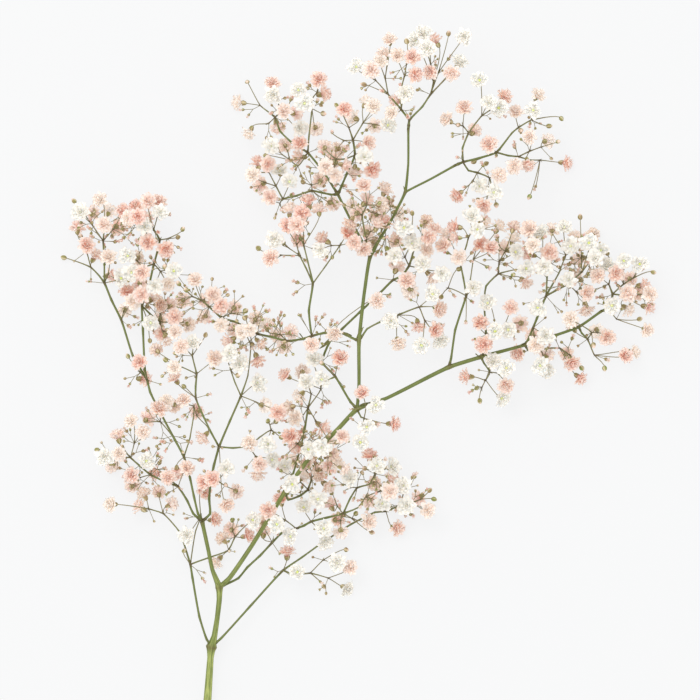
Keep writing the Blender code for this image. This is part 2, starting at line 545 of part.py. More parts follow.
def try_head(tree, fork, head, draw):
    """Find a height and a facing for a head so that it and its stalk stand clear."""
    kind, x, y, *height = head
    size = HEAD_R[kind] * draw.uniform(*HEAD_SPREAD)
    low, high = HEAD_LIFT[kind]
    hub = tree.places[fork]
    best = None
    for attempt in range(HEAD_TRIES):
        late = attempt / HEAD_TRIES
        stray = 0.12 + 1.1 * late
        centre = sheet(x, y, 0)
        centre[0] += draw.gauss(0, 1) * stray
        centre[1] += draw.gauss(0, 1) * stray
        lift = draw.uniform(low, high) * (1.0 + 1.2 * late)
        centre[2] = max(hub[2] + lift, size * LEAST_HEIGHT)
        if height:
            centre = sheet(x, y, height[0])
        stalk = unit(centre - hub)
        axis = DOWN if height == [0] else head_axis(kind, stalk, draw)
        base = centre - axis * size * CALYX_DEPTH
        run = base - hub
        length = float(np.linalg.norm(run))
        if length < LEAST_STALK or not tree.fork_open(fork, run / length):
            continue
        if float(run @ axis) < LEAST_BEND * length:
            continue
        ball = tree.space.room(centre, centre, size) - HEAD_ROOM
        rod = tree.space.room(hub, base, PEDICEL_R, (tree.label(fork),)) - TWIG_ROOM
        spare = min(ball, rod)
        if best is None or spare > best[0]:
            best = (spare, base, centre, axis, size)
        if spare > 0:
            break
    return best


def plant_head(tree, fork, head, draw):
    """Add a head on its stalk at a fork."""
    _, base, centre, axis, size = try_head(tree, fork, head, draw)
    tip = tree.joint(base, PEDICEL_R)
    tree.rod(fork, tip)
    tree.heads[tip] = (head[0], centre, axis, size)
    tree.space.add(centre, centre, size, [tree.label(tip), tree.label(tip)])


def over_sheet(head, height):
    """A head's place on the sheet, at a height in millimetres."""
    _, x, y, *_ = head
    place = sheet(x, y, 0)
    place[2] = height
    return place


def split_heads(hub, outward, heads, parts):
    """Sort heads round a fork and part them at the widest gaps between them."""
    def turn(head):
        off = over_sheet(head, 0)[:2] - hub[:2]
        ahead = math.atan2(outward[1], outward[0])
        angle = math.atan2(off[1], off[0]) - ahead
        return (angle + math.pi) % (2 * math.pi) - math.pi
    ranked = sorted(heads, key=turn)
    if parts >= len(ranked):
        return [[head] for head in ranked]
    steps = [(turn(ranked[i + 1]) - turn(ranked[i]), i + 1) for i in range(len(ranked) - 1)]
    cuts = sorted(i for _, i in sorted(steps, reverse=True)[: parts - 1])
    groups = []
    for low, high in zip([0, *cuts], [*cuts, len(ranked)]):
        groups.append(ranked[low:high])
    return groups


def try_joint(tree, fork, aim, draw):
    """A clear place for the next fork, half way to a group of heads."""
    hub = tree.places[fork]
    best = None
    for attempt in range(FORK_TRIES):
        stray = 0.6 + 3.5 * attempt / FORK_TRIES
        place = hub + (aim - hub) * draw.uniform(*FORK_WAY)
        place = place + np.array([draw.gauss(0, 0.4), draw.gauss(0, 0.4), draw.gauss(0, 1.0)]) * stray
        place[2] = max(place[2], LOWEST_KNOT)
        run = place - hub
        length = float(np.linalg.norm(run))
        if length < LEAST_TWIG or not tree.fork_open(fork, run / length):
            continue
        rod = tree.space.room(hub, place, TWIG_R, (tree.label(fork),)) - TWIG_ROOM
        knot = tree.space.room(place, place, KNOT_R, (tree.label(fork),)) - KNOT_ROOM
        spare = min(rod, knot)
        if best is None or spare > best[0]:
            best = (spare, place)
        if spare > 0:
            break
    return best


def spread_heads(tree, fork, heads, draw, depth=0):
    """Fork again and again until each head has its own stalk."""
    if not heads:
        return
    hub = tree.places[fork]
    there = tree.limbs(fork)
    outward = -there[0] if there else np.array([0.0, 1.0, 0.0])
    free = max(2, 4 - len(there)) if depth == 0 else 3
    if len(heads) <= free - (1 if len(there) > 2 else 0):
        groups = [[head] for head in heads]
    else:
        groups = split_heads(hub, outward, heads, min(free, 3))
    for group in sorted(groups, key=lambda g: (len(g) > 1, g[0][1])):
        if len(group) == 1:
            plant_head(tree, fork, group[0], draw)
            continue
        height = hub[2] + draw.uniform(*FORK_LIFT)
        aim = sum(over_sheet(head, height) for head in group) / len(group)
        found = try_joint(tree, fork, aim, draw)
        if found is None:
            for head in group:
                plant_head(tree, fork, head, draw)
            continue
        here = tree.joint(found[1], TWIG_R * FINE_TWIG_SHARE)
        tree.rod(fork, here)
        spread_heads(tree, here, group, draw, depth + 1)


def lay_out():
    """Lay out the stem and every spray, each clear of what is there before it."""
    space = Space()
    stem = grow_stem(space)
    laid = {}
    for name, (root, twigs) in SPRAYS.items():
        laid[name] = lay_twigs(name, root, twigs, space, stem)
    for name, (_, twigs) in SPRAYS.items():
        tree, ends = laid[name]
        draw = random.Random(f"{SEED} {name}")
        for twig, (_, _, heads) in twigs.items():
            spread_heads(tree, ends[twig], heads, draw)
    return [stem, *(tree for tree, _ in laid.values())]


def ring_round(bm, centre, tangent, side, plane, radius, sides):
    """A ring of points round a rod's axis, on the plane where it meets the next rod."""
    up = np.cross(tangent, side)
    ring = []
    for k in range(sides):
        angle = 2 * math.pi * k / sides
        offset = radius * (math.cos(angle) * side + math.sin(angle) * up)
        offset = offset - tangent * float(offset @ plane) / float(tangent @ plane)
        ring.append(bm.verts.new(Vector(centre + offset)))
    return ring


def bridge(bm, first, second):
    """Join two rings of the same count by triangles."""
    count = len(first)
    for k in range(count):
        n = (k + 1) % count
        bm.faces.new((first[k], first[n], second[n]))
        bm.faces.new((first[k], second[n], second[k]))


def close_ring(bm, ring):
    """Close a ring with a fan of triangles."""
    for k in range(1, len(ring) - 1):
        bm.faces.new((ring[0], ring[k], ring[k + 1]))


def zigzag_ring(bm, centre, axis, side, count, tip, notch, tip_height, notch_height):
    """The rim of a flower: petal tips with notches between them."""
    up = np.cross(axis, side)
    rim = []
    for k in range(count):
        angle = 2 * math.pi * k / count
        radius, height = (tip, tip_height) if k % 2 == 0 else (notch, notch_height)
        place = centre + axis * height + radius * (math.cos(angle) * side + math.sin(angle) * up)
        rim.append(bm.verts.new(Vector(place)))
    return rim


def join_to_rim(bm, ring, rim):
    """Join a stalk's ring to a rim with more points."""
    sides = len(ring)
    count = len(rim)
    owners = [round(((k + 0.5) / count) * sides) % sides for k in range(count)]
    for k in range(count):
        n = (k + 1) % count
        bm.faces.new((rim[k], rim[n], ring[owners[k]]))
        if owners[k] != owners[n]:
            bm.faces.new((rim[n], ring[owners[n]], ring[owners[k]]))


def grow_head(bm, ring, side, head):
    """A flower or a bud, grown from the ring at its stalk's end."""
    kind, centre, axis, size = head
    count, tip, notch, tip_height, notch_height, crown = HEAD_FORM[kind]
    side = unit(side - axis * float(side @ axis))
    rim = zigzag_ring(bm, centre, axis, side, count, tip * size, notch * size,
                      tip_height * size, notch_height * size)
    join_to_rim(bm, ring, rim)
    top = bm.verts.new(Vector(centre + axis * crown * size))
    for k in range(count):
        bm.faces.new((rim[k], rim[(k + 1) % count], top))


def fork_reach(radius, limbs):
    """How far from a fork's centre its limbs' rings stand so that none hides in another."""
    closest = max(float(limbs[i] @ limbs[j]) for i in range(len(limbs)) for j in range(i))
    angle = math.acos(max(-1.0, min(1.0, closest)))
    return radius * max(FORK_SLACK / math.tan(angle / 2), FORK_REACH)


def skin_tree(tree, sides, slant):
    """One closed surface over a tree's rods, forks and heads."""
    bm = bmesh.new()
    around = {j: [] for j in range(len(tree.places))}
    for number, (a, b) in enumerate(tree.rods):
        around[a].append(number)
        around[b].append(number)
    rings = {}
    sideways = {}
    forks = {}
    for joint, numbers in around.items():
        if len(numbers) < 3:
            continue
        limbs = []
        for number in numbers:
            a, b = tree.rods[number]
            limbs.append(unit(tree.places[b if a == joint else a] - tree.places[joint]))
        forks[joint] = fork_reach(tree.radii[joint], limbs)
    for number, (a, b) in enumerate(tree.rods):
        tangent = unit(tree.places[b] - tree.places[a])
        side = sideways.get(a, across(tangent))
        side = unit(side - tangent * float(side @ tangent))
        if (a, number) not in rings:
            if a in forks:
                radius = tree.radii[a]
                if sides == TWIG_SIDES:
                    radius = min(radius, tree.radii[b] * LIMB_SHARE)
                spot = tree.places[a] + tangent * forks[a]
                rings[(a, number)] = ring_round(bm, spot, tangent, side, tangent, radius, sides)
            else:
                plane = tangent + slant
                rings[(a, number)] = ring_round(bm, tree.places[a], tangent, side, plane, tree.radii[a],
                                                sides)
                close_ring(bm, rings[(a, number)])
        sideways[b] = side
        if b in forks:
            spot = tree.places[b] - tangent * forks[b]
            rings[(b, number)] = ring_round(bm, spot, tangent, side, tangent, tree.radii[b], sides)
        elif b in tree.heads:
            plane = unit(tangent + tree.heads[b][2])
            ring = ring_round(bm, tree.places[b], tangent, side, plane, tree.radii[b], sides)
            rings[(b, number)] = ring
            grow_head(bm, ring, side, tree.heads[b])
        elif len(around[b]) == 1:
            ring = ring_round(bm, tree.places[b], tangent, side, tangent, tree.radii[b], sides)
            rings[(b, number)] = ring
            close_ring(bm, ring)
        else:
            onward = next(n for n in around[b] if n != number)
            ahead = unit(tree.places[tree.rods[onward][1]] - tree.places[b])
            ring = ring_round(bm, tree.places[b], tangent, side, unit(tangent + ahead), tree.radii[b], sides)
            rings[(b, number)] = ring
            rings[(b, onward)] = ring
        bridge(bm, rings[(a, number)], rings[(b, number)])
    for joint in forks:
        close_fork(bm, [rings[(joint, number)] for number in around[joint]])
    bmesh.ops.recalc_face_normals(bm, faces=bm.faces)
    return bm


def close_fork(bm, rings):
    """Wrap the ends of a fork's limbs in one skin and open it where each limb leaves."""
    verts = [vert for ring in rings for vert in ring]
    owner = {vert: number for number, ring in enumerate(rings) for vert in ring}
    made = bmesh.ops.convex_hull(bm, input=verts, use_existing_faces=False)
    faces = [item for item in made["geom"] if isinstance(item, bmesh.types.BMFace)]
    inside = [face for face in faces if len({owner.get(vert) for vert in face.verts}) == 1]
    bmesh.ops.delete(bm, geom=inside, context="FACES")


def flatten_on_table(bm):
    """What would reach under the table is pressed flat on it."""
    for vert in bm.verts:
        vert.co.z = max(vert.co.z, 0.0)


def gap_to(surface, place):
    """Distance from a place to a closed surface, below zero inside it."""
    spot, normal, _, distance = surface.find_nearest(Vector(place))
    return distance if (Vector(place) - spot).dot(normal) > 0 else -distance


def seat_foot(tree, stem_surface):
    """Set a spray's foot just clear of the stem, on the way out from the axis of the stem."""
    way = unit(tree.places[1] - tree.seat)
    side = across(way)
    up = np.cross(way, side)
    rim = [math.cos(turn) * side + math.sin(turn) * up for turn in RIM_TURNS]
    foot = tree.seat
    while min(gap_to(stem_surface, foot + tree.radii[0] * spoke) for spoke in rim) < SPRAY_GAP:
        foot = foot + way * FOOT_STEP
    tree.places[0] = foot


def material(name, colour, roughness):
    """A matt plant surface."""
    made = bpy.data.materials.new(name)
    made.use_nodes = True
    shader = made.node_tree.nodes["Principled BSDF"]
    shader.inputs["Base Color"].default_value = (*colour, 1.0)
    shader.inputs["Roughness"].default_value = roughness
    return made


def clear_scene():
    for thing in list(bpy.data.objects):
        bpy.data.objects.remove(thing, do_unlink=True)


def make_object(name, bm, skin):
    """Turn a surface in millimetres into an object in metres."""
    bmesh.ops.scale(bm, vec=(MM, MM, MM), verts=bm.verts)
    mesh = bpy.data.meshes.new(name)
    bm.to_mesh(mesh)
    bm.free()
    mesh.materials.append(skin)
    thing = bpy.data.objects.new(name, mesh)
    bpy.context.scene.collection.objects.link(thing)
    return thing


def main():
    clear_scene()
    stem_skin = material("olive_stem", (0.27, 0.31, 0.10), 0.6)
    spray_skin = material("blossom", (0.86, 0.66, 0.56), 0.8)
    stem, *sprays = lay_out()
    bm = skin_tree(stem, STEM_SIDES, np.array([0.0, 0.0, CUT_SLOPE]))
    flatten_on_table(bm)
    stem_surface = BVHTree.FromBMesh(bm)
    make_object(stem.name, bm, stem_skin)
    for spray in sprays:
        seat_foot(spray, stem_surface)
        bm = skin_tree(spray, TWIG_SIDES, np.zeros(3))
        flatten_on_table(bm)
        make_object(spray.name, bm, spray_skin)


main()
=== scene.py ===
"""Looks of the gypsophila stem: layered petals, calyxes, buds, fine twigs and a ribbed stem.

The script lays out the stem, twigs and flower places in ruled steps on a sheet, then grows the
finer pieces there. Lengths are millimetres until the meshes are written in metres.
"""
import math
import random

import bmesh
import bpy
import numpy as np
from mathutils import Matrix, Vector


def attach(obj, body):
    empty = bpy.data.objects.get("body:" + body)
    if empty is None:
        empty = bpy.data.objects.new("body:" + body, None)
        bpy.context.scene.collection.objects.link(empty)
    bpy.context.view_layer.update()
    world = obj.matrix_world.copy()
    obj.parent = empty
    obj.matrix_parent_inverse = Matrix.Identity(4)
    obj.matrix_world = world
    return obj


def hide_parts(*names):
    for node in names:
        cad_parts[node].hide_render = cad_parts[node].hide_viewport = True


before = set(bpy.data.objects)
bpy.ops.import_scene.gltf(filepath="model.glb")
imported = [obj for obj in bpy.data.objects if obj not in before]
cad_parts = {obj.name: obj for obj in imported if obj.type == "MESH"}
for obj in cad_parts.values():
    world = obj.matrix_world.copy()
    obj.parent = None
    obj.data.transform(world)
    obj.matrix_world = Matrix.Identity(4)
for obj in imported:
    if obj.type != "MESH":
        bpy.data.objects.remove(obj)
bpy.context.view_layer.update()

# Routes and flower heads are laid out on a sheet ruled in half millimetres: x runs right and
# y runs down the sheet, both in ruled steps. Heights are steps above the table.
STEP_MM = 0.5
REST_X = 304
REST_Y = 371
MM = 0.001

# Gaps in millimetres: a spray's foot from the stem, and the room kept round twigs, heads and forks
TWIG_ROOM = 0.45
HEAD_ROOM = 0.35
KNOT_ROOM = 0.2

# Radii in millimetres
TWIG_R = 0.42
PEDICEL_R = 0.38
KNOT_R = 1.0
# Radii as shares of a twig's
FOOT_SHARE = 1.3
START_SHARE = 1.2
ROOT_TWIG_SHARE = 1.15
FINE_TWIG_SHARE = 0.95

# Lengths along a twig, in millimetres: its foot and, where twigs share a start, their fork,
# both from the stem's axis; then the shortest flower stalk and the shortest twig
FOOT_OUT = 1.6
START_OUT = 4.2
LEAST_STALK = 3.6
LEAST_TWIG = 4.2
LOWEST_KNOT = 1.5

LEAST_FORK_ANGLE = math.radians(24.0)
HEAD_TRIES = 160
FORK_TRIES = 80
LABEL_STEP = 10000
WIDE_OPEN = 99.0
SEED = 20

PINK, CREAM, WHITE, BACK, SMALL, BUD = "pink", "cream", "white", "back", "small", "bud"
HEAD_R = {PINK: 4.3, CREAM: 4.1, WHITE: 4.6, BACK: 3.9, SMALL: 2.6, BUD: 1.45}
# How far a head's place may lie above its fork: lowest and highest, millimetres
HEAD_LIFT = {
    PINK: (-13.0, 17.0),
    CREAM: (-14.0, 16.0),
    WHITE: (-2.0, 20.0),
    BACK: (-20.0, 8.0),
    SMALL: (-10.0, 12.0),
    BUD: (-9.0, 9.0),
}
# Shares of a head's radius: the spread of sizes, the least height of its centre over the table
# and how far behind its centre the stalk ends
HEAD_SPREAD = (0.92, 1.06)
LEAST_HEIGHT = 0.85
CALYX_DEPTH = 0.95
DOWN = np.array([0.0, 0.0, -1.0])
# How strongly a head turns up to the light, against the way its stalk points
HEAD_RISE = {PINK: 0.7, CREAM: 0.6, WHITE: 1.5, BACK: -0.9, SMALL: 0.5, BUD: 0.1}
# Cosines of the sharpest angle between a head's axis and its stalk, and what it is turned back to
LEAST_NOD = 0.25
NOD_BACK = 0.6
LEAST_BEND = 0.05
# A fork's place on the way to its heads, as a share of the way, and its rise in millimetres
FORK_WAY = (0.42, 0.58)
FORK_LIFT = (-4.0, 6.0)

P, C, W, T, H, B = PINK, CREAM, WHITE, BACK, SMALL, BUD

# The thick stem: (x, y, height, radius) in ruled steps, from the cut end upwards
STEM = {
    "trunk": (None, [(190, 862, 3.4, 4.3), (198, 782, 7, 4.2), (207, 700, 13, 4.0), (210, 659, 20, 3.9),
                     (211, 648, 22, 4.6), (214, 637, 25, 3.7), (217, 618, 29, 3.4), (219, 600, 32, 3.5),
                     (219, 588, 34, 3.9)]),
    "left_bough": ("trunk", [(212, 570, 38, 2.4), (208, 550, 42, 2.3), (202, 522, 46, 2.4)]),
    "right_bough": ("trunk", [(229, 579, 38, 2.8), (251, 547, 44, 2.6), (285, 492, 58, 2.6),
                              (310, 457, 68, 2.6), (338, 429, 76, 2.6), (357, 409, 82, 2.7)]),
    "leader": ("right_bough", [(359, 385, 86, 2.0), (359, 341, 91, 2.2), (364, 295, 96, 2.0),
                               (370, 257, 100, 2.1)]),
    "long_arm": ("right_bough", [(387, 398, 78, 2.1), (449, 367, 66, 2.5), (481, 357, 60, 2.3),
                                 (525, 345, 54, 1.8), (579, 327, 50, 1.6), (602, 311, 47, 1.5)]),
    "crown_arm": ("leader", [(392, 219, 105, 1.5), (405, 193, 109, 1.7)]),
    "crown": ("crown_arm", [(408, 165, 112, 1.3), (408, 130, 116, 1.4)]),
    "east_arm": ("crown_arm", [(430, 180, 104, 1.3), (455, 166, 100, 1.4)]),
    "west_arm": ("leader", [(350, 219, 95, 1.4), (338, 195, 91, 1.5)]),
}

# Each spray: the stem place it grows from, then its twigs. A twig: the twig it grows from, its
# route in ruled steps, and the heads that spread from its end. A head: its kind and place, and
# its height where it is one of those that bear on the table.
SPRAYS = {
    "low_left_spray": ((209, 648, 22), {
        "a": (None, [(206, 640, 26), (199, 618, 29), (192, 578, 34), (190, 565, 36)], [(B, 184, 551)]),
        "b": ("a", [(179, 532, 38), (163, 514, 38)],
              [(T, 143, 495), (T, 158, 493), (P, 139, 507), (C, 111, 504), (P, 171, 505)]),
        "c": ("a", [(195, 532, 30), (200, 518, 30)], [(P, 204, 492), (P, 214, 520), (W, 186, 535)]),
        "d": ("a", [(209, 558, 34), (228, 551, 32)],
              [(T, 222, 539), (T, 230, 531), (P, 247, 536), (P, 216, 563), (W, 253, 520), (B, 232, 521)]),
    }),
    "left_spray": ((202, 522, 46), {
        "a": (None, [(193, 514, 42), (187, 501, 42), (178, 487, 42)],
              [(P, 168, 478), (P, 155, 474), (P, 187, 468)]),
        "b": ("a", [(165, 482, 38), (150, 475, 36)],
              [(P, 131, 475), (T, 131, 486), (W, 147, 461), (B, 159, 463)]),
        "c": ("b", [(139, 466, 34), (130, 458, 32)],
              [(P, 117, 437), (C, 131, 421), (C, 143, 432), (C, 118, 454), (W, 105, 457),
               (T, 110, 466), (B, 96, 450)]),
    }),
    "far_left_spray": ((202, 520, 47), {
        "a": (None, [(198, 514, 56), (194, 497, 58), (190, 478, 58), (184, 457, 58)], [(P, 177, 472)]),
        "b": ("a", [(190, 438, 62), (194, 406, 66)],
              [(P, 203, 438), (P, 197, 411), (T, 184, 400), (T, 174, 406)]),
        "c": ("a", [(172, 436, 44), (160, 422, 40)], [(P, 159, 409), (C, 166, 402), (P, 147, 418)]),
        "d": ("a", [(175, 440, 60), (160, 412, 58), (150, 392, 56), (147, 380, 56)],
              [(P, 144, 378), (P, 140, 362), (B, 128, 357)]),
        "e": ("d", [(133, 357, 50), (121, 320, 44)], [(T, 124, 310), (P, 127, 291), (C, 133, 302)]),
        "f": ("e", [(111, 300, 40), (104, 283, 38)],
              [(P, 109, 275), (C, 108, 257), (W, 121, 278)]),
        "g": ("f", [(98, 275, 30), (90, 267, 26)],
              [(B, 62, 257), (P, 94, 255), (P, 86, 245), (B, 80, 236), (P, 76, 227, 6.6)]),
        "h": ("f", [(104, 262, 48), (103, 241, 52)],
              [(B, 74, 201), (C, 100, 200), (W, 81, 212), (T, 92, 212), (C, 109, 210), (P, 104, 225),
               (P, 117, 227), (P, 124, 211)]),
        "i": ("d", [(145, 371, 60), (143, 330, 62), (142, 306, 62)],
              [(P, 141, 295), (B, 150, 341), (W, 151, 323)]),
        "j": ("i", [(148, 290, 64), (154, 264, 66)],
              [(W, 155, 287), (P, 143, 273), (W, 132, 273), (T, 139, 284), (W, 128, 256), (T, 136, 257),
               (B, 165, 267), (W, 175, 271), (C, 168, 284)]),
        "k": ("j", [(158, 250, 68), (160, 240, 70)],
              [(P, 148, 243), (P, 166, 249), (B, 183, 230), (B, 178, 237)]),
        "m": ("k", [(154, 230, 72)],
              [(P, 149, 202), (P, 159, 202), (W, 161, 213), (P, 146, 219), (W, 145, 227), (P, 136, 207),
               (P, 139, 220), (C, 129, 219)]),
        "n": ("i", [(150, 314, 52), (160, 322, 50)],
              [(P, 153, 297), (T, 160, 305), (T, 170, 305), (T, 159, 319), (P, 175, 317), (P, 161, 333),
               (T, 167, 340), (T, 188, 325)]),
    }),
    "left_inner_spray": ((202, 520, 47), {
        "a": (None, [(210, 514, 48), (209, 499, 54), (211, 480, 58)],
              [(P, 213, 478), (P, 204, 482), (T, 236, 492), (B, 226, 485), (W, 226, 468)]),
        "b": ("a", [(214, 465, 60), (219, 447, 62)], [(P, 227, 503)]),
        "c": ("b", [(211, 432, 68), (203, 415, 74), (196, 398, 78)], [(B, 184, 387), (P, 175, 378)]),
        "d": ("c", [(196, 386, 82), (197, 374, 84)],
              [(P, 215, 358), (C, 175, 367), (W, 193, 343), (P, 182, 347), (T, 157, 350), (C, 175, 332),
               (B, 206, 335), (B, 166, 360)]),
        "e": ("b", [(230, 421, 68), (241, 396, 74)],
              [(W, 258, 383), (P, 264, 405), (P, 278, 412)]),
        "f": ("e", [(235, 382, 78), (231, 370, 80)],
              [(W, 240, 363), (W, 230, 354), (B, 224, 358), (B, 238, 376)]),
        "g": ("e", [(248, 376, 80), (251, 345, 84)], [(P, 258, 360), (C, 243, 332), (B, 262, 347)]),
        "h": ("b", [(233, 448, 60), (249, 446, 58)],
              [(P, 250, 443), (W, 272, 460), (P, 260, 464), (P, 257, 474)]),
        "i": ("h", [(260, 437, 62), (271, 430, 64)],
              [(B, 268, 421), (B, 276, 422), (B, 281, 437), (W, 268, 444)]),
    }),
    "centre_spray": ((285, 492, 58), {
        "a": (None, [(293, 474, 52), (301, 446, 42), (305, 427, 38), (308, 408, 36)],
              [(T, 289, 408), (C, 295, 418), (P, 300, 434)]),
        "b": ("a", [(311, 394, 30)], [(P, 299, 396), (W, 306, 382), (T, 302, 372, 0)]),
        "c": ("a", [(321, 389, 44)], [(W, 321, 379), (W, 314, 359), (P, 285, 375)]),
        "d": ("a", [(315, 420, 36)], [(P, 323, 427), (T, 330, 441)]),
    }),
    "thicket_spray": ((285, 492, 58), {
        "a": (None, [(288, 500, 48), (300, 496, 38), (308, 490, 34)],
              [(C, 303, 477), (W, 292, 484), (W, 318, 499), (W, 284, 466)]),
        "b": ("a", [(312, 478, 34)],
              [(T, 306, 463), (T, 292, 462), (T, 320, 475), (P, 328, 486), (P, 330, 466), (T, 318, 470)]),
    }),
    "upper_thicket_spray": ((310, 457, 68), {
        "a": (None, [(305, 450, 76), (303, 446, 86)], [(P, 297, 447), (W, 309, 449), (P, 290, 436)]),
        "b": ("a", [(316, 444, 94)],
              [(W, 322, 447), (T, 333, 454), (P, 342, 436), (T, 345, 470), (C, 336, 462)]),
    }),
    "low_mid_spray": ((219, 588, 34), {
        "a": (None, [(238, 579, 26), (247, 568, 30), (260, 556, 34), (272, 543, 38)],
              [(P, 264, 532), (T, 262, 521)]),
        "b": ("a", [(282, 533, 38), (296, 529, 36)],
              [(W, 290, 536), (W, 277, 524), (P, 268, 510), (P, 281, 500)]),
        "c": ("b", [(304, 526, 34), (311, 522, 34)], [(W, 304, 507), (W, 324, 528), (W, 325, 543)]),
        "d": ("c", [(327, 518, 36), (343, 514, 38)],
              [(P, 337, 520), (P, 330, 505), (T, 341, 533), (B, 331, 493)]),
        "e": ("d", [(350, 499, 44), (357, 488, 48)],
              [(H, 345, 492), (W, 350, 478), (H, 353, 500)]),
        "f": ("e", [(370, 484, 52), (375, 474, 54)],
              [(W, 377, 465), (P, 370, 456), (W, 393, 467), (T, 374, 484), (B, 365, 468)]),
        "g": ("d", [(358, 508, 38), (366, 497, 40)],
              [(T, 369, 502), (W, 383, 504), (P, 390, 491), (P, 392, 480)]),
        "h": ("d", [(352, 519, 30)], [(P, 369, 522), (B, 372, 533), (B, 356, 514)]),
    }),
    "low_right_spray": ((213, 645, 23), {
        "a": (None, [(221, 639, 24), (250, 607, 22), (283, 571, 22)], [(P, 287, 553)]),
        "b": ("a", [(302, 558, 20), (320, 545, 19), (351, 525, 18), (375, 513, 18), (386, 512, 18)],
              [(P, 397, 529)]),
        "c": ("b", [(400, 506, 20)],
              [(W, 403, 485), (P, 419, 499), (W, 406, 506), (C, 428, 511), (H, 414, 516),
               (B, 430, 491), (H, 414, 475), (B, 434, 500)]),
        "d": ("a", [(294, 576, 20), (310, 574, 18)], [(W, 297, 572), (B, 324, 588)]),
        "e": ("d", [(323, 561, 18)], [(B, 346, 550), (W, 337, 563)]),
        "f": ("d", [(328, 579, 16)], [(P, 350, 569), (W, 347, 590, 5.8)]),
    }),
    "near_spray": ((357, 409, 82), {
        "a": (None, [(361, 417, 90), (364, 418, 96)],
              [(P, 362, 393), (W, 376, 405), (W, 366, 427), (W, 360, 442), (P, 394, 424)]),
    }),
    "middle_spray": ((357, 409, 82), {
        "a": (None, [(350, 401, 76), (335, 376, 66)], [(P, 340, 358), (B, 321, 364)]),
        "b": ("a", [(322, 362, 58), (330, 341, 58), (342, 329, 58), (361, 311, 62), (379, 294, 66)],
              [(P, 377, 301), (C, 333, 333)]),
        "c": ("b", [(393, 280, 68)], [(P, 397, 267), (P, 407, 281), (C, 410, 291)]),
        "d": ("c", [(402, 276, 72), (409, 266, 76)],
              [(W, 394, 256), (T, 396, 240), (W, 413, 244), (W, 423, 264), (P, 432, 277), (W, 442, 274)]),
        "e": ("d", [(414, 248, 82)],
              [(P, 426, 250), (P, 428, 238), (P, 434, 230), (T, 426, 221), (W, 405, 232), (B, 412, 214)]),
    }),
    "north_west_spray": ((359, 341, 91), {
        "a": (None, [(352, 338, 92), (342, 333, 92), (324, 333, 94), (312, 336, 96)], [(P, 312, 345)]),
        "b": ("a", [(303, 339, 98), (287, 341, 100)],
              [(T, 291, 332), (T, 284, 346), (T, 276, 335), (C, 266, 325)]),
        "c": ("b", [(272, 337, 98), (258, 334, 96)],
              [(C, 250, 330), (T, 261, 343), (P, 229, 341), (T, 234, 330), (B, 245, 318), (T, 256, 318)]),
        "d": ("c", [(236, 322, 92), (222, 318, 90)],
              [(C, 222, 325), (P, 222, 306), (T, 234, 308), (P, 214, 295), (T, 206, 300), (T, 205, 316),
               (P, 196, 280), (B, 246, 311), (B, 187, 290), (T, 183, 300), (B, 180, 284)]),
        "e": ("a", [(309, 311, 100), (313, 284, 104)], []),
        "f": ("e", [(306, 268, 106), (300, 256, 106)],
              [(P, 271, 258), (B, 259, 249), (W, 275, 240), (B, 284, 244), (P, 288, 226), (P, 299, 240)]),
        "g": ("e", [(308, 262, 112), (304, 246, 114)],
              [(P, 297, 226), (P, 308, 202), (P, 290, 210), (P, 302, 214), (T, 319, 211)]),
        "h": ("e", [(326, 266, 108), (340, 246, 110)],
              [(P, 354, 244), (P, 348, 234), (P, 323, 240), (W, 321, 251)]),
    }),
    "east_inner_spray": ((359, 341, 91), {
        "a": (None, [(367, 329, 92), (380, 322, 90), (398, 315, 88)],
              [(W, 390, 321), (P, 398, 343), (P, 418, 326)]),
        "b": ("a", [(419, 307, 86)],
              [(W, 432, 294), (P, 439, 309), (P, 435, 330), (W, 440, 341), (W, 421, 346)]),
    }),
    "over_tangle_spray": ((370, 257, 100), {
        "a": (None, [(368, 252, 110), (366, 240, 120)], [(P, 363, 249), (T, 377, 226), (T, 367, 232)]),
        "b": ("a", [(362, 216, 126)],
              [(P, 364, 187), (P, 366, 201), (T, 357, 214), (T, 350, 223), (T, 381, 206)]),
    }),
    "under_tangle_spray": ((370, 257, 100), {
        "a": (None, [(374, 252, 92), (380, 238, 80)], [(T, 372, 243), (P, 385, 222), (B, 387, 249)]),
        "b": ("a", [(384, 216, 72)],
              [(P, 398, 213), (T, 386, 203), (T, 376, 215), (T, 352, 206), (C, 385, 189), (P, 400, 226)]),
    }),
    "west_spray": ((338, 195, 91), {
        "a": (None, [(333, 187, 88), (324, 173, 82), (308, 153, 74)], [(P, 299, 157), (P, 300, 144)]),
        "b": ("a", [(309, 137, 78), (312, 109, 80)],
              [(P, 324, 94), (P, 319, 80), (W, 304, 104), (T, 316, 129), (B, 323, 114), (W, 298, 91)]),
        "c": ("a", [(291, 142, 62), (280, 131, 54), (275, 117, 48)],
              [(P, 277, 126), (P, 272, 83), (W, 273, 95), (P, 284, 112), (P, 296, 112), (C, 249, 132),
               (W, 300, 128)]),
        "d": ("c", [(260, 105, 38)], [(B, 247, 82), (C, 238, 101, 6.6)]),
        "e": ("a", [(298, 166, 60), (290, 160, 56)], [(B, 266, 155), (W, 271, 147), (T, 285, 145)]),
    }),
    "west_side_spray": ((338, 195, 91), {
        "a": (None, [(331, 195, 88), (322, 193, 84), (312, 191, 78)],
              [(T, 320, 180), (B, 303, 182), (P, 332, 203)]),
        "b": ("a", [(296, 196, 66), (283, 199, 58)], [(W, 290, 182), (B, 284, 211), (P, 270, 197)]),
        "c": ("b", [(276, 186, 50)],
              [(P, 268, 164), (P, 258, 162), (C, 253, 175), (P, 260, 184), (W, 280, 170)]),
    }),
    "north_spray": ((338, 195, 91), {
        "a": (None, [(341, 188, 94), (347, 174, 97), (355, 156, 100)],
              [(P, 372, 170), (P, 355, 172), (W, 364, 158)]),
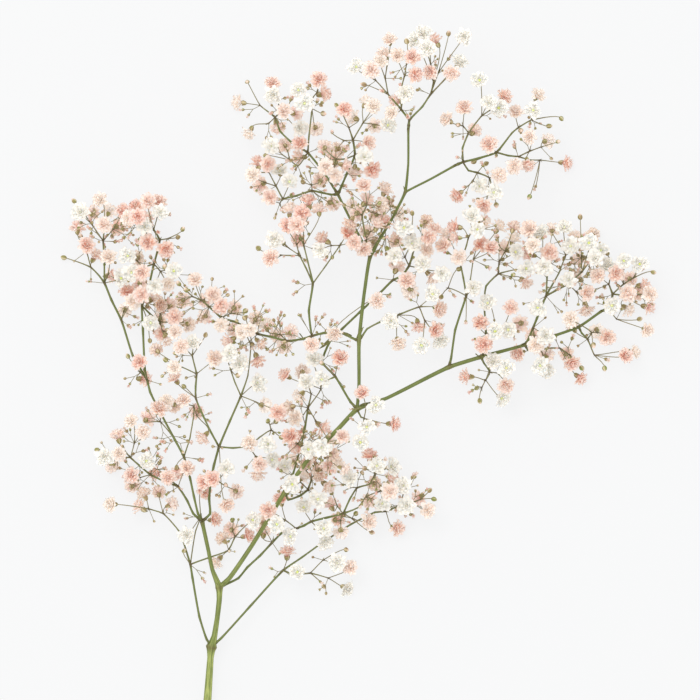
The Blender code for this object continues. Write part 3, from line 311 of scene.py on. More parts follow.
        "b": ("a", [(353, 141, 104)], [(P, 368, 144), (H, 332, 133), (T, 338, 150)]),
        "c": ("b", [(349, 129, 104)], [(C, 353, 118), (P, 345, 112), (B, 337, 106)]),
        "d": ("b", [(363, 124, 108)], [(C, 366, 103), (T, 375, 126), (W, 388, 126), (C, 373, 108)]),
        "e": ("a", [(345, 160, 108), (336, 160, 112)],
              [(P, 333, 161), (T, 325, 148), (P, 326, 168), (C, 335, 177), (T, 345, 166)]),
    }),
    "crown_spray": ((408, 130, 116), {
        "a": (None, [(404, 120, 118), (401, 111, 120)], [(P, 396, 102), (C, 391, 115), (W, 402, 94)]),
        "b": ("a", [(388, 96, 118)], [(B, 364, 86), (P, 371, 72), (W, 356, 68)]),
        "c": ("b", [(385, 80, 120)], [(C, 384, 56), (C, 389, 42), (C, 380, 64)]),
        "d": ("a", [(401, 90, 128), (404, 78, 130)],
              [(C, 397, 58), (P, 412, 60), (P, 415, 77), (B, 406, 44)]),
        "e": (None, [(415, 118, 116), (422, 108, 117), (430, 96, 118)], [(P, 451, 75), (W, 459, 63)]),
        "f": ("e", [(433, 84, 120)],
              [(P, 430, 73), (W, 426, 51), (W, 414, 42), (W, 423, 36), (P, 435, 42)]),
        "g": ("e", [(438, 74, 112)], [(B, 448, 35), (W, 463, 40)]),
    }),
    "east_spray": ((455, 166, 100), {
        "a": (None, [(458, 158, 103), (462, 149, 105), (468, 134, 106)],
              [(P, 474, 131), (P, 463, 109), (C, 447, 120), (B, 458, 126)]),
        "b": ("a", [(481, 117, 108)], [(W, 478, 82), (W, 488, 104), (W, 498, 110), (P, 504, 98)]),
        "c": (None, [(463, 164, 98), (478, 159, 94), (496, 153, 88)], [(P, 488, 145), (B, 474, 162)]),
        "d": ("c", [(512, 133, 82), (518, 128, 80)],
              [(P, 516, 112), (B, 520, 131), (W, 532, 111), (C, 538, 96), (B, 548, 127), (B, 561, 119)]),
        "e": ("c", [(508, 156, 80), (518, 157, 76)],
              [(P, 514, 167), (P, 527, 164), (C, 529, 138), (C, 548, 140), (B, 557, 142)]),
        "f": ("e", [(530, 160, 62), (540, 160, 54)],
              [(P, 567, 162, 6.6), (H, 535, 189), (B, 529, 197)]),
        "g": (None, [(461, 170, 94), (468, 171, 90), (477, 173, 84)],
              [(W, 479, 186), (P, 457, 195), (B, 486, 164)]),
        "h": ("g", [(489, 178, 78)], [(C, 499, 176), (W, 494, 193), (P, 483, 206), (B, 496, 205)]),
    }),
    "east_upper_spray": ((449, 367, 66), {
        "a": (None, [(451, 358, 70), (455, 330, 78), (466, 296, 84)], [(H, 465, 323), (W, 473, 288)]),
        "b": ("a", [(463, 278, 86), (460, 264, 88)], [(P, 458, 258), (P, 443, 246), (C, 447, 235)]),
        "c": ("b", [(466, 246, 96), (468, 238, 98)],
              [(P, 454, 227), (T, 455, 238), (W, 471, 217), (C, 484, 222), (W, 476, 230)]),
        "d": ("a", [(470, 280, 84), (473, 260, 84)], [(P, 481, 245), (P, 490, 249), (C, 499, 227)]),
        "e": ("a", [(448, 288, 76)], [(B, 459, 269), (B, 441, 297)]),
    }),
    "east_low_spray": ((481, 357, 60), {
        "a": (None, [(484, 363, 54), (490, 372, 46)], [(W, 493, 361), (W, 506, 368), (P, 506, 385)]),
        "b": ("a", [(486, 380, 36)], [(P, 467, 377), (B, 477, 388), (W, 503, 399), (B, 480, 401)]),
    }),
    "east_mid_spray": ((481, 357, 60), {
        "a": (None, [(484, 349, 62), (486, 335, 60)], [(P, 483, 344), (P, 480, 323)]),
        "b": ("a", [(496, 330, 58)],
              [(W, 495, 331), (W, 508, 330), (W, 487, 303), (P, 511, 308), (P, 519, 324)]),
        "c": ("a", [(484, 300, 66), (486, 286, 68), (498, 274, 68)],
              [(W, 526, 269), (P, 526, 282), (B, 513, 275)]),
        "d": ("c", [(499, 262, 68)],
              [(P, 504, 248), (T, 514, 227), (C, 514, 239), (W, 516, 252), (H, 497, 236)]),
    }),
    "south_east_spray": ((525, 345, 54), {
        "a": (None, [(528, 340, 60), (533, 328, 64)], [(T, 533, 335), (W, 545, 336), (P, 536, 345)]),
        "b": ("a", [(537, 318, 62), (546, 296, 60)], [(W, 537, 308)]),
        "c": ("b", [(547, 278, 62), (547, 264, 64)],
              [(W, 544, 267), (P, 549, 252), (W, 540, 232), (P, 528, 229), (C, 532, 245), (P, 529, 254)]),
        "d": ("b", [(559, 273, 56), (566, 255, 52)],
              [(T, 553, 229), (W, 564, 227), (W, 570, 246), (P, 576, 238)]),
        "e": ("b", [(568, 284, 50)], [(P, 577, 278), (W, 568, 280), (P, 586, 293), (P, 586, 309)]),
        "f": ("e", [(582, 272, 44)],
              [(P, 580, 259), (W, 594, 258), (B, 581, 217), (T, 594, 234), (W, 588, 243), (W, 601, 250)]),
    }),
    "low_east_spray": ((525, 345, 54), {
        "a": (None, [(528, 350, 48), (541, 349, 42)],
              [(P, 519, 353), (P, 547, 355), (W, 540, 366), (W, 548, 369)]),
        "b": ("a", [(560, 348, 34)], [(T, 568, 354), (P, 573, 363), (B, 583, 368), (P, 581, 378)]),
    }),
    "south_tip_spray": ((579, 327, 50), {
        "a": (None, [(582, 333, 44), (588, 339, 38)],
              [(P, 607, 337), (C, 597, 331), (C, 570, 319), (C, 573, 327), (B, 594, 345)]),
        "b": ("a", [(595, 355, 32)], [(B, 605, 368), (P, 626, 356), (C, 635, 352)]),
    }),
    "east_tip_spray": ((602, 311, 47), {
        "a": (None, [(608, 303, 46), (613, 294, 46)],
              [(P, 597, 276), (H, 605, 287), (P, 616, 274), (W, 607, 266), (W, 612, 306)]),
        "b": ("a", [(624, 284, 44)],
              [(W, 622, 261), (W, 640, 264), (B, 653, 272), (T, 632, 278), (B, 608, 253)]),
        "c": ("a", [(626, 296, 36)],
              [(P, 628, 293), (T, 638, 293), (P, 645, 285), (P, 650, 294), (P, 629, 309),
               (P, 650, 307, 6.6)]),
        "d": (None, [(609, 316, 44), (617, 319, 40)], [(B, 640, 319), (C, 647, 330)]),
    }),
}


def sheet(x, y, height):
    """A place on the ruled sheet, in millimetres."""
    return np.array([(x - REST_X) * STEP_MM, (REST_Y - y) * STEP_MM, height * STEP_MM])


def unit(vector):
    """The vector's direction."""
    return vector / np.linalg.norm(vector)


def across(direction):
    """A direction square to the given one."""
    other = np.array([0.0, 0.0, 1.0]) if abs(direction[2]) < 0.8 else np.array([1.0, 0.0, 0.0])
    return unit(np.cross(other, direction))


def segment_gaps(a, b, starts, ends):
    """Distances from the segment a-b to each of the segments starts-ends."""
    d1 = b - a
    d2 = ends - starts
    r = a - starts
    aa = max(float(d1 @ d1), 1e-9)
    ee = np.maximum(np.einsum("ij,ij->i", d2, d2), 1e-9)
    f = np.einsum("ij,ij->i", d2, r)
    c = r @ d1
    bb = d2 @ d1
    den = aa * ee - bb * bb
    s = np.where(den > 1e-9, np.clip((bb * f - c * ee) / np.maximum(den, 1e-9), 0.0, 1.0), 0.0)
    t = np.clip((bb * s + f) / ee, 0.0, 1.0)
    s = np.clip((bb * t - c) / aa, 0.0, 1.0)
    apart = (a + s[:, None] * d1) - (starts + t[:, None] * d2)
    return np.sqrt(np.einsum("ij,ij->i", apart, apart))


class Space:
    """What is already laid out: round-ended rods and balls that later pieces keep clear of."""

    def __init__(self):
        self.starts = np.zeros((0, 3))
        self.ends = np.zeros((0, 3))
        self.radii = np.zeros(0)
        self.joints = np.zeros((0, 2), dtype=int)

    def add(self, a, b, radius, joints):
        self.starts = np.vstack([self.starts, a])
        self.ends = np.vstack([self.ends, b])
        self.radii = np.append(self.radii, radius)
        self.joints = np.vstack([self.joints, joints])

    def room(self, a, b, radius, joints=()):
        """The narrowest gap round a rod, leaving out what meets it at one of its joints."""
        gaps = segment_gaps(a, b, self.starts, self.ends) - self.radii - radius
        for joint in joints:
            gaps = np.where((self.joints == joint).any(axis=1), WIDE_OPEN, gaps)
        return float(gaps.min())


class Tree:
    """A branching body: joints, the rods between them and the heads at its tips."""

    def __init__(self, name, space):
        self.name = name
        self.space = space
        self.places = []
        self.radii = []
        self.rods = []
        self.heads = {}

    def joint(self, place, radius):
        self.places.append(np.array(place))
        self.radii.append(radius)
        return len(self.places) - 1

    def label(self, joint):
        """A number for a joint that no other tree's joint has."""
        return TREE_LABELS[self.name] * LABEL_STEP + joint

    def rod(self, a, b):
        self.rods.append((a, b))
        self.space.add(self.places[a], self.places[b], max(self.radii[a], self.radii[b]),
                       [self.label(a), self.label(b)])

    def limbs(self, joint):
        """Directions of the rods that leave a joint."""
        out = []
        for a, b in self.rods:
            if a == joint:
                out.append(unit(self.places[b] - self.places[a]))
            if b == joint:
                out.append(unit(self.places[a] - self.places[b]))
        return out

    def fork_open(self, joint, direction):
        """True where a new limb leaves a joint well apart from those already there."""
        return all(float(limb @ direction) < math.cos(LEAST_FORK_ANGLE) for limb in self.limbs(joint))


TREE_LABELS = {name: number for number, name in enumerate(["main_stem", *SPRAYS])}


def grow_stem(space):
    """The thick stem with its boughs and arms."""
    tree = Tree("main_stem", space)
    ends = {}
    for name, (parent, route) in STEM.items():
        last = ends.get(parent)
        for x, y, height, radius in route:
            here = tree.joint(sheet(x, y, height), radius * STEP_MM)
            if last is not None:
                tree.rod(last, here)
            last = here
        ends[name] = last
    return tree


def nearest_on_stem(stem, place):
    """The stem joint nearest a place."""
    return min(range(len(stem.places)), key=lambda j: float(np.linalg.norm(stem.places[j] - place)))


def lay_twigs(name, root, twigs, space, stem):
    """The listed twigs of a spray. A spray with several root twigs starts from one joint."""
    tree = Tree(name, space)
    ends = {}
    seat = stem.places[nearest_on_stem(stem, sheet(*root))]
    roots = [twig for twig, (parent, _, _) in twigs.items() if parent is None]
    shared = len(roots) > 1
    if shared:
        aim = unit(sum(unit(sheet(*twigs[twig][1][1]) - seat) for twig in roots))
    else:
        aim = unit(sheet(*twigs[roots[0]][1][0]) - seat)
    start = tree.joint(seat + aim * FOOT_OUT, TWIG_R * FOOT_SHARE)
    if shared:
        fork = tree.joint(seat + aim * START_OUT, TWIG_R * START_SHARE)
        tree.rod(start, fork)
        start = fork
    for twig, (parent, route, _) in twigs.items():
        last = ends[parent] if parent else start
        places = route[1:] if parent is None and shared else route
        radius = TWIG_R if parent else TWIG_R * ROOT_TWIG_SHARE
        for place in places:
            here = tree.joint(sheet(*place), radius)
            tree.rod(last, here)
            last = here
        ends[twig] = last
    tree.seat = seat
    return tree, ends


def head_axis(kind, stalk, draw):
    """The way a head faces: along its stalk, turned up or down by its kind."""
    lean = np.array([draw.gauss(0, 0.3), draw.gauss(0, 0.3), draw.gauss(0, 0.2) + HEAD_RISE[kind]])
    axis = unit(stalk + lean)
    along = float(axis @ stalk)
    if along < LEAST_NOD:
        axis = unit(axis + stalk * (NOD_BACK - along))
    return axis


def try_head(tree, fork, head, draw):
    """Find a height and a facing for a head so that it and its stalk stand clear."""
    kind, x, y, *height = head
    size = HEAD_R[kind] * draw.uniform(*HEAD_SPREAD)
    low, high = HEAD_LIFT[kind]
    hub = tree.places[fork]
    best = None
    for attempt in range(HEAD_TRIES):
        late = attempt / HEAD_TRIES
        stray = 0.12 + 1.1 * late
        centre = sheet(x, y, 0)
        centre[0] += draw.gauss(0, 1) * stray
        centre[1] += draw.gauss(0, 1) * stray
        lift = draw.uniform(low, high) * (1.0 + 1.2 * late)
        centre[2] = max(hub[2] + lift, size * LEAST_HEIGHT)
        if height:
            centre = sheet(x, y, height[0])
        stalk = unit(centre - hub)
        axis = DOWN if height == [0] else head_axis(kind, stalk, draw)
        base = centre - axis * size * CALYX_DEPTH
        run = base - hub
        length = float(np.linalg.norm(run))
        if length < LEAST_STALK or not tree.fork_open(fork, run / length):
            continue
        if float(run @ axis) < LEAST_BEND * length:
            continue
        ball = tree.space.room(centre, centre, size) - HEAD_ROOM
        rod = tree.space.room(hub, base, PEDICEL_R, (tree.label(fork),)) - TWIG_ROOM
        spare = min(ball, rod)
        if best is None or spare > best[0]:
            best = (spare, base, centre, axis, size)
        if spare > 0:
            break
    return best


def plant_head(tree, fork, head, draw):
    """Add a head on its stalk at a fork."""
    _, base, centre, axis, size = try_head(tree, fork, head, draw)
    tip = tree.joint(base, PEDICEL_R)
    tree.rod(fork, tip)
    tree.heads[tip] = (head[0], centre, axis, size)
    tree.space.add(centre, centre, size, [tree.label(tip), tree.label(tip)])


def over_sheet(head, height):
    """A head's place on the sheet, at a height in millimetres."""
    _, x, y, *_ = head
    place = sheet(x, y, 0)
    place[2] = height
    return place


def split_heads(hub, outward, heads, parts):
    """Sort heads round a fork and part them at the widest gaps between them."""
    def turn(head):
        off = over_sheet(head, 0)[:2] - hub[:2]
        ahead = math.atan2(outward[1], outward[0])
        angle = math.atan2(off[1], off[0]) - ahead
        return (angle + math.pi) % (2 * math.pi) - math.pi
    ranked = sorted(heads, key=turn)
    if parts >= len(ranked):
        return [[head] for head in ranked]
    steps = [(turn(ranked[i + 1]) - turn(ranked[i]), i + 1) for i in range(len(ranked) - 1)]
    cuts = sorted(i for _, i in sorted(steps, reverse=True)[: parts - 1])
    groups = []
    for low, high in zip([0, *cuts], [*cuts, len(ranked)]):
        groups.append(ranked[low:high])
    return groups


def try_joint(tree, fork, aim, draw):
    """A clear place for the next fork, half way to a group of heads."""
    hub = tree.places[fork]
    best = None
    for attempt in range(FORK_TRIES):
        stray = 0.6 + 3.5 * attempt / FORK_TRIES
        place = hub + (aim - hub) * draw.uniform(*FORK_WAY)
        place = place + np.array([draw.gauss(0, 0.4), draw.gauss(0, 0.4), draw.gauss(0, 1.0)]) * stray
        place[2] = max(place[2], LOWEST_KNOT)
        run = place - hub
        length = float(np.linalg.norm(run))
        if length < LEAST_TWIG or not tree.fork_open(fork, run / length):
            continue
        rod = tree.space.room(hub, place, TWIG_R, (tree.label(fork),)) - TWIG_ROOM
        knot = tree.space.room(place, place, KNOT_R, (tree.label(fork),)) - KNOT_ROOM
        spare = min(rod, knot)
        if best is None or spare > best[0]:
            best = (spare, place)
        if spare > 0:
            break
    return best


def spread_heads(tree, fork, heads, draw, depth=0):
    """Fork again and again until each head has its own stalk."""
    if not heads:
        return
    hub = tree.places[fork]
    there = tree.limbs(fork)
    outward = -there[0] if there else np.array([0.0, 1.0, 0.0])
    free = max(2, 4 - len(there)) if depth == 0 else 3
    if len(heads) <= free - (1 if len(there) > 2 else 0):
        groups = [[head] for head in heads]
    else:
        groups = split_heads(hub, outward, heads, min(free, 3))
    for group in sorted(groups, key=lambda g: (len(g) > 1, g[0][1])):
        if len(group) == 1:
            plant_head(tree, fork, group[0], draw)
            continue
        height = hub[2] + draw.uniform(*FORK_LIFT)
        aim = sum(over_sheet(head, height) for head in group) / len(group)
        found = try_joint(tree, fork, aim, draw)
        if found is None:
            for head in group:
                plant_head(tree, fork, head, draw)
            continue
        here = tree.joint(found[1], TWIG_R * FINE_TWIG_SHARE)
        tree.rod(fork, here)
        spread_heads(tree, here, group, draw, depth + 1)


def lay_out():
    """Lay out the stem and every spray, each clear of what is there before it."""
    space = Space()
    stem = grow_stem(space)
    laid = {}
    for name, (root, twigs) in SPRAYS.items():
        laid[name] = lay_twigs(name, root, twigs, space, stem)
    for name, (_, twigs) in SPRAYS.items():
        tree, ends = laid[name]
        draw = random.Random(f"{SEED} {name}")
        for twig, (_, _, heads) in twigs.items():
            spread_heads(tree, ends[twig], heads, draw)
    return [stem, *(tree for tree, _ in laid.values())]


# Radii in millimetres: a stalk that bears one flower, and the thickest twig. Between them a twig
# thickens with the number of flowers beyond it, raised to a power.
STALK = 0.21
THICKEST_TWIG = 0.60
THICKENING = 0.39
# Stem limbs thinner than the first, in millimetres, are finished to this share of their radius
THICK_STEM = 1.95
STEM_SLIM = 0.84
TWIG_TURNS = 6
STALK_TURNS = 5
STEM_TURNS = 15
RIBS = 5
FORK_SWELL = 1.22
# How near to a joint, in stations, a ring of a limb is taken to be on it
AT_JOINT = 0.01

# Rings of petals of a double bloom: how many, length, width, first and last lean from the axis
# in degrees. Lengths are shares of the head's radius.
DOUBLE_RINGS = [
    (9, 1.26, 0.62, 35, 98),
    (9, 1.38, 0.58, 22, 68),
    (8, 1.44, 0.50, 12, 42),
    (6, 1.36, 0.46, 7, 14),
    (3, 1.24, 0.42, 9, -26),
]
# Inner petals still folded together in a double bloom: (radius, height) from the foot up
CORE = [(0.05, -0.50), (0.12, 0.05), (0.19, 0.40), (0.15, 0.60), (0.04, 0.70)]
OPEN_RINGS = [
    (9, 1.26, 0.72, 30, 86),
    (8, 1.15, 0.60, 25, 67),
    (6, 0.92, 0.44, 18, 50),
]
FULL_RINGS = [
    (9, 1.32, 0.68, 30, 88),
    (8, 1.24, 0.58, 22, 66),
    (7, 1.12, 0.48, 14, 44),
    (4, 0.98, 0.38, 6, 20),
]
TUFT_RINGS = [
    (5, 0.92, 0.42, 10, 48),
    (3, 0.95, 0.36, 4, 18),
]
PETAL_FOOT = -0.55
RING_RISE = 0.02
# Half width of a petal along its length, as shares of the widest
BLADE_SHARES = [0.0, 0.25, 0.5, 0.75, 1.0]
BLADE = [0.20, 0.54, 0.86, 1.0, 0.78]
BRACT_BLADE = [0.70, 1.0, 0.80, 0.46, 0.06]
# Columns and rows of faces in a large blade and in a small one, and how many outer rings are large
LARGE_BLADE = (3, 4)
SMALL_BLADE = (2, 3)
LARGE_RINGS = 2
# How far the corners of a petal's tip fall short of its middle
TIP_ROUNDING = 0.11
BLADE_DEPTH = 0.022
WELD = 1e-5
# Faces that meet more sharply than this don't shade into one another
RIM_ANGLE = math.radians(70.0)
HEAD_MODELS = 6
STAMENS = 9

# Below this height in millimetres everything is pressed flatter, so that nothing goes under the table
PRESS_FROM = 1.2


def make_layers(bm):
    """The vertex values that the materials read."""
    for name in ("along", "across", "tint", "dry"):
        bm.verts.layers.float.new(name)
    bm.verts.layers.float_vector.new("grain")


def bent(share, length, lean):
    """Out and up along a blade that turns steadily from one lean to the other."""
    first, last = lean
    here = first + (last - first) * share
    reach = length / (last - first)
    return reach * (math.cos(first) - math.cos(here)), reach * (math.sin(here) - math.sin(first)), here


def add_blade(bm, length, width, lean, widths, draw, ragged=0.05, faces=SMALL_BLADE):
    """A petal or bract standing on the origin: two sheets welded round their rim."""
    along = bm.verts.layers.float["along"]
    across_blade = bm.verts.layers.float["across"]
    cup = draw.uniform(0.03, 0.14)
    columns, rows = faces
    jag = {}
    both = []
    for side in (1, -1):
        verts = bmesh.ops.create_grid(bm, x_segments=columns, y_segments=rows, size=1.0)["verts"]
        for vert in verts:
            u = vert.co.x
            share = (vert.co.y + 1.0) / 2.0
            row = round(share * rows)
            spot = (round(u * columns), row)
            if spot not in jag:
                jag[spot] = [draw.gauss(0, 1) for _ in range(3)]
            rim = abs(u) > 0.9 or row in (0, rows)
            reach = share
            if row == rows:
                reach = share + ragged * jag[spot][0] - (TIP_ROUNDING if abs(u) > 0.9 else 0.0)
            out, up, turned = bent(reach, length, lean)
            half = width / 2.0 * np.interp(share, BLADE_SHARES, widths)
            half *= 1.0 + ragged * jag[spot][1] * abs(u)
            lift = cup * u * u * share * length
            lift += ragged * 0.9 * jag[spot][2] * abs(u) * share * length
            if not rim:
                lift += side * BLADE_DEPTH * length
            vert.co = Vector((out - lift * math.cos(turned), u * half, up + lift * math.sin(turned)))
            vert[along] = share
            vert[across_blade] = u
        if side < 0:
            under = {face for vert in verts for face in vert.link_faces}
            bmesh.ops.reverse_faces(bm, faces=list(under))
        both.extend(verts)
    bmesh.ops.remove_doubles(bm, verts=both, dist=WELD)
    verts = [vert for vert in both if vert.is_valid]
    for edge in {edge for vert in verts for edge in vert.link_edges}:
        edge.smooth = edge.calc_face_angle(0.0) < RIM_ANGLE
    return verts


def add_rings(bm, rings, draw, large):
    """Whorls of petals round the head's axis, each ring started at its own random turn."""
    for ring, (count, length, width, first, last) in enumerate(rings):
        start = draw.uniform(0, 2 * math.pi)
        for petal in range(count):
            nod = math.radians(draw.gauss(0, 6.0))
            lean = (math.radians(first) + nod * 0.5, math.radians(last) + nod)
            stretch = draw.uniform(0.90, 1.05)
            verts = add_blade(bm, length * stretch, width * draw.uniform(0.88, 1.1), lean, BLADE, draw,
                              faces=LARGE_BLADE if ring < large else SMALL_BLADE)
            turn = start + 2 * math.pi * petal / count + math.radians(draw.gauss(0, 7.0))
            twist = Matrix.Rotation(math.radians(draw.gauss(0, 9.0)), 4, Vector((0.3, 0.0, 1.0)))
            rise = Matrix.Translation((0.0, 0.0, PETAL_FOOT + RING_RISE * ring))
            place = rise @ Matrix.Rotation(turn, 4, "Z") @ twist
            bmesh.ops.transform(bm, matrix=place, verts=verts)


def add_lathe(bm, profile, turns, teeth=0.0, along_from=0.0, along_to=1.0):
    """A closed cup or ball round +Z through (radius, height) pairs; teeth lift every other top corner."""
    along = bm.verts.layers.float["along"]
    seam = bm.verts.layers.float["across"]
    grain = bm.verts.layers.float_vector["grain"]
    ring = bmesh.ops.create_circle(bm, cap_ends=True, segments=turns, radius=1.0)["verts"]
    made = list(ring)
    for vert in ring:
        vert[grain] = Vector((vert.co.x, vert.co.y, 0.0))
    for face in {face for vert in ring for face in vert.link_faces}:
        face.normal_flip()
    edges = list({edge for vert in ring for edge in vert.link_edges})
    last = len(profile) - 1
    for step, (radius, height) in enumerate(profile):
        if step:
            out = bmesh.ops.extrude_edge_only(bm, edges=edges)["geom"]
            ring = [item for item in out if isinstance(item, bmesh.types.BMVert)]
            fresh = set(ring)
            edges = [item for item in out
                     if isinstance(item, bmesh.types.BMEdge) and set(item.verts) <= fresh]
            made.extend(ring)
        share = step / last
        for vert in ring:
            x, y = vert[grain][0], vert[grain][1]
            corner = round(math.atan2(y, x) / (2 * math.pi) * turns) % 2
            lift = teeth if corner and step == last - 1 else 0.0
            vert.co = Vector((x * radius, y * radius, height + lift))
            vert[along] = along_from + (along_to - along_from) * share
            vert[seam] = corner
            vert[grain] = Vector((x, y, height))
    bmesh.ops.edgeloop_fill(bm, edges=edges)
    return made


def close_model(bm, name):
    """Set normals outwards and keep the shape as a mesh."""
    bmesh.ops.recalc_face_normals(bm, faces=bm.faces)
    mesh = bpy.data.meshes.new(name)
    bm.to_mesh(mesh)
    bm.free()
    return mesh


def new_model():
    """An empty mesh with the layers that the materials read."""
    bm = bmesh.new()
    make_layers(bm)
    return bm


CUP = [(0.055, -0.97), (0.15, -0.93), (0.25, -0.80), (0.30, -0.62), (0.34, -0.48), (0.20, -0.50)]
OVARY = [(0.03, -0.50), (0.15, -0.42), (0.19, -0.28), (0.13, -0.12), (0.04, -0.06)]
BUD_BALL = [(0.16, -0.95), (0.52, -0.80), (0.84, -0.40), (0.92, 0.05), (0.78, 0.55), (0.46, 0.95),
            (0.16, 1.20)]
SEAM_DEPTH = 0.09


def bloom_model(name, rings, draw, core=None, large=LARGE_RINGS):
    """Rings of petals, round a core of folded ones in a double bloom."""
    bm = new_model()
    add_rings(bm, rings, draw, large)
    if core:
        add_lathe(bm, core, 8, along_from=0.2, along_to=0.6)
    return close_model(bm, name)


def calyx_model(name, draw):
    """The toothed green cup that holds the petals, slightly out of round."""
    bm = new_model()
    verts = add_lathe(bm, CUP, 10, teeth=0.12, along_to=0.8)
    squash = Matrix.Scale(draw.uniform(0.9, 1.1), 4, Vector((1.0, 0.0, 0.0)))
    bmesh.ops.transform(bm, matrix=squash, verts=verts)
    return close_model(bm, name)


def heart_model(name, draw):
    """The green middle of an open flower: an ovary with thin stamens round it."""
    bm = new_model()
    add_lathe(bm, OVARY, 7, along_to=0.1)
    for stamen in range(STAMENS):
        turn = 2 * math.pi * stamen / STAMENS + draw.gauss(0, 0.15)
        lean = math.radians(draw.uniform(14, 36))
        length = draw.uniform(0.55, 0.78)
        rod = [(0.018, 0.0), (0.016, length * 0.88), (0.052, length * 0.94), (0.02, length * 1.05)]
        verts = add_lathe(bm, rod, 4, along_from=0.1)
        place = (Matrix.Translation((0.0, 0.0, -0.42)) @ Matrix.Rotation(turn, 4, "Z")
                 @ Matrix.Translation((0.10, 0.0, 0.0)) @ Matrix.Rotation(lean, 4, "Y"))
        bmesh.ops.transform(bm, matrix=place, verts=verts)
    return close_model(bm, name)


def bud_model(name, draw):
    """A closed bud: five sepals pressed together, with the petals' tip just showing."""
    bm = new_model()
    verts = add_lathe(bm, BUD_BALL, 10)
    seam = bm.verts.layers.float["across"]
    for vert in verts:
        vert.co.x *= 1.0 - SEAM_DEPTH * vert[seam]
        vert.co.y *= 1.0 - SEAM_DEPTH * vert[seam]
    squash = Matrix.Scale(draw.uniform(0.86, 1.0), 4, Vector((1.0, 0.0, 0.0)))
    bmesh.ops.transform(bm, matrix=squash, verts=verts)
    return close_model(bm, name)


# How far a limb's bends reach into its straight runs
BEND = 0.38


def smooth_line(places, first, last, spacing=2.6, most=6):
    """Points on a bending line through places, with the share of the way at each."""
    ways = []
    for i, place in enumerate(places):
        back = unit(place - places[i - 1]) if i else first
        ahead = unit(places[i + 1] - place) if i < len(places) - 1 else last
        ways.append(unit(back + ahead) if 0 < i < len(places) - 1 else (first if i == 0 else last))
    points = [places[0]]
    stations = [0.0]
    for i in range(len(places) - 1):
        a, b = places[i], places[i + 1]
        length = float(np.linalg.norm(b - a))
        steps = min(most, max(2, round(length / spacing)))
        for step in range(1, steps + 1):
            t = step / steps
            pull = length * BEND
            straight = a + (b - a) * t
            lead = (t**3 - 2 * t**2 + t) * pull * (ways[i] - (b - a) / length)
            trail = (t**3 - t**2) * pull * (ways[i + 1] - (b - a) / length)
            point = straight + lead + trail
            points.append(point)
            stations.append(i + t)
    return points, stations


def add_limb(bm, points, radii, turns, ribs=0.0):
    """A round limb through the points, closed at both ends."""
    along = bm.verts.layers.float["along"]
    grain = bm.verts.layers.float_vector["grain"]
    ring = bmesh.ops.create_circle(bm, cap_ends=True, segments=turns, radius=1.0)["verts"]
    made = list(ring)
    for vert in ring:
        vert[grain] = Vector((vert.co.x, vert.co.y, 0.0))
    for face in {face for vert in ring for face in vert.link_faces}:
        face.normal_flip()
    edges = list({edge for vert in ring for edge in vert.link_edges})
    side = None
    run = 0.0
    for step, (point, radius) in enumerate(zip(points, radii)):
        ahead = points[min(step + 1, len(points) - 1)]
        behind = points[max(step - 1, 0)]
        way = unit(ahead - behind)
        side = across(way) if side is None else unit(side - way * float(side @ way))
        other = np.cross(way, side)
        if step:
            run += float(np.linalg.norm(point - points[step - 1]))
            out = bmesh.ops.extrude_edge_only(bm, edges=edges)["geom"]
            ring = [item for item in out if isinstance(item, bmesh.types.BMVert)]
            fresh = set(ring)
            edges = [item for item in out
                     if isinstance(item, bmesh.types.BMEdge) and set(item.verts) <= fresh]
            made.extend(ring)
        for vert in ring:
            x, y = vert[grain][0], vert[grain][1]
            wide = radius * (1.0 + ribs * math.cos(RIBS * math.atan2(y, x)))
            vert.co = Vector(point + (side * x + other * y) * wide)
            vert[grain] = Vector((x, y, run))
            vert[along] = step / (len(points) - 1)
    bmesh.ops.edgeloop_fill(bm, edges=edges)
    return made


def turn_to(axis, spin):
    """The rotation that stands +Z along an axis, after a spin about it."""
    up = Vector(axis).to_track_quat("Z", "Y").to_matrix().to_4x4()
    return up @ Matrix.Rotation(spin, 4, "Z")


def twig_chains(tree):
    """Runs of joints: at each fork the straightest limb goes on and the others start there."""
    limbs = {}
    for a, b in tree.rods:
        limbs.setdefault(a, []).append(b)
    chains = []
    starts = [(0, None)]
    while starts:
        joint, second = starts.pop()
        chain = [joint] if second is None else [joint, second]
        while limbs.get(chain[-1]):
            here = chain[-1]
            ahead = limbs[here]
            if len(chain) > 1:
                way = unit(tree.places[here] - tree.places[chain[-2]])
                ahead = sorted(ahead, key=lambda b: -float(unit(tree.places[b] - tree.places[here]) @ way))
            starts.extend((here, b) for b in ahead[1:])
            chain.append(ahead[0])
        chains.append(chain)
    return chains, limbs


def flowers_beyond(tree, limbs):
    """How many heads each joint bears."""
    count = {}
    for joint in range(len(tree.places) - 1, -1, -1):
        count[joint] = sum(count[b] for b in limbs.get(joint, ())) or 1
    return count


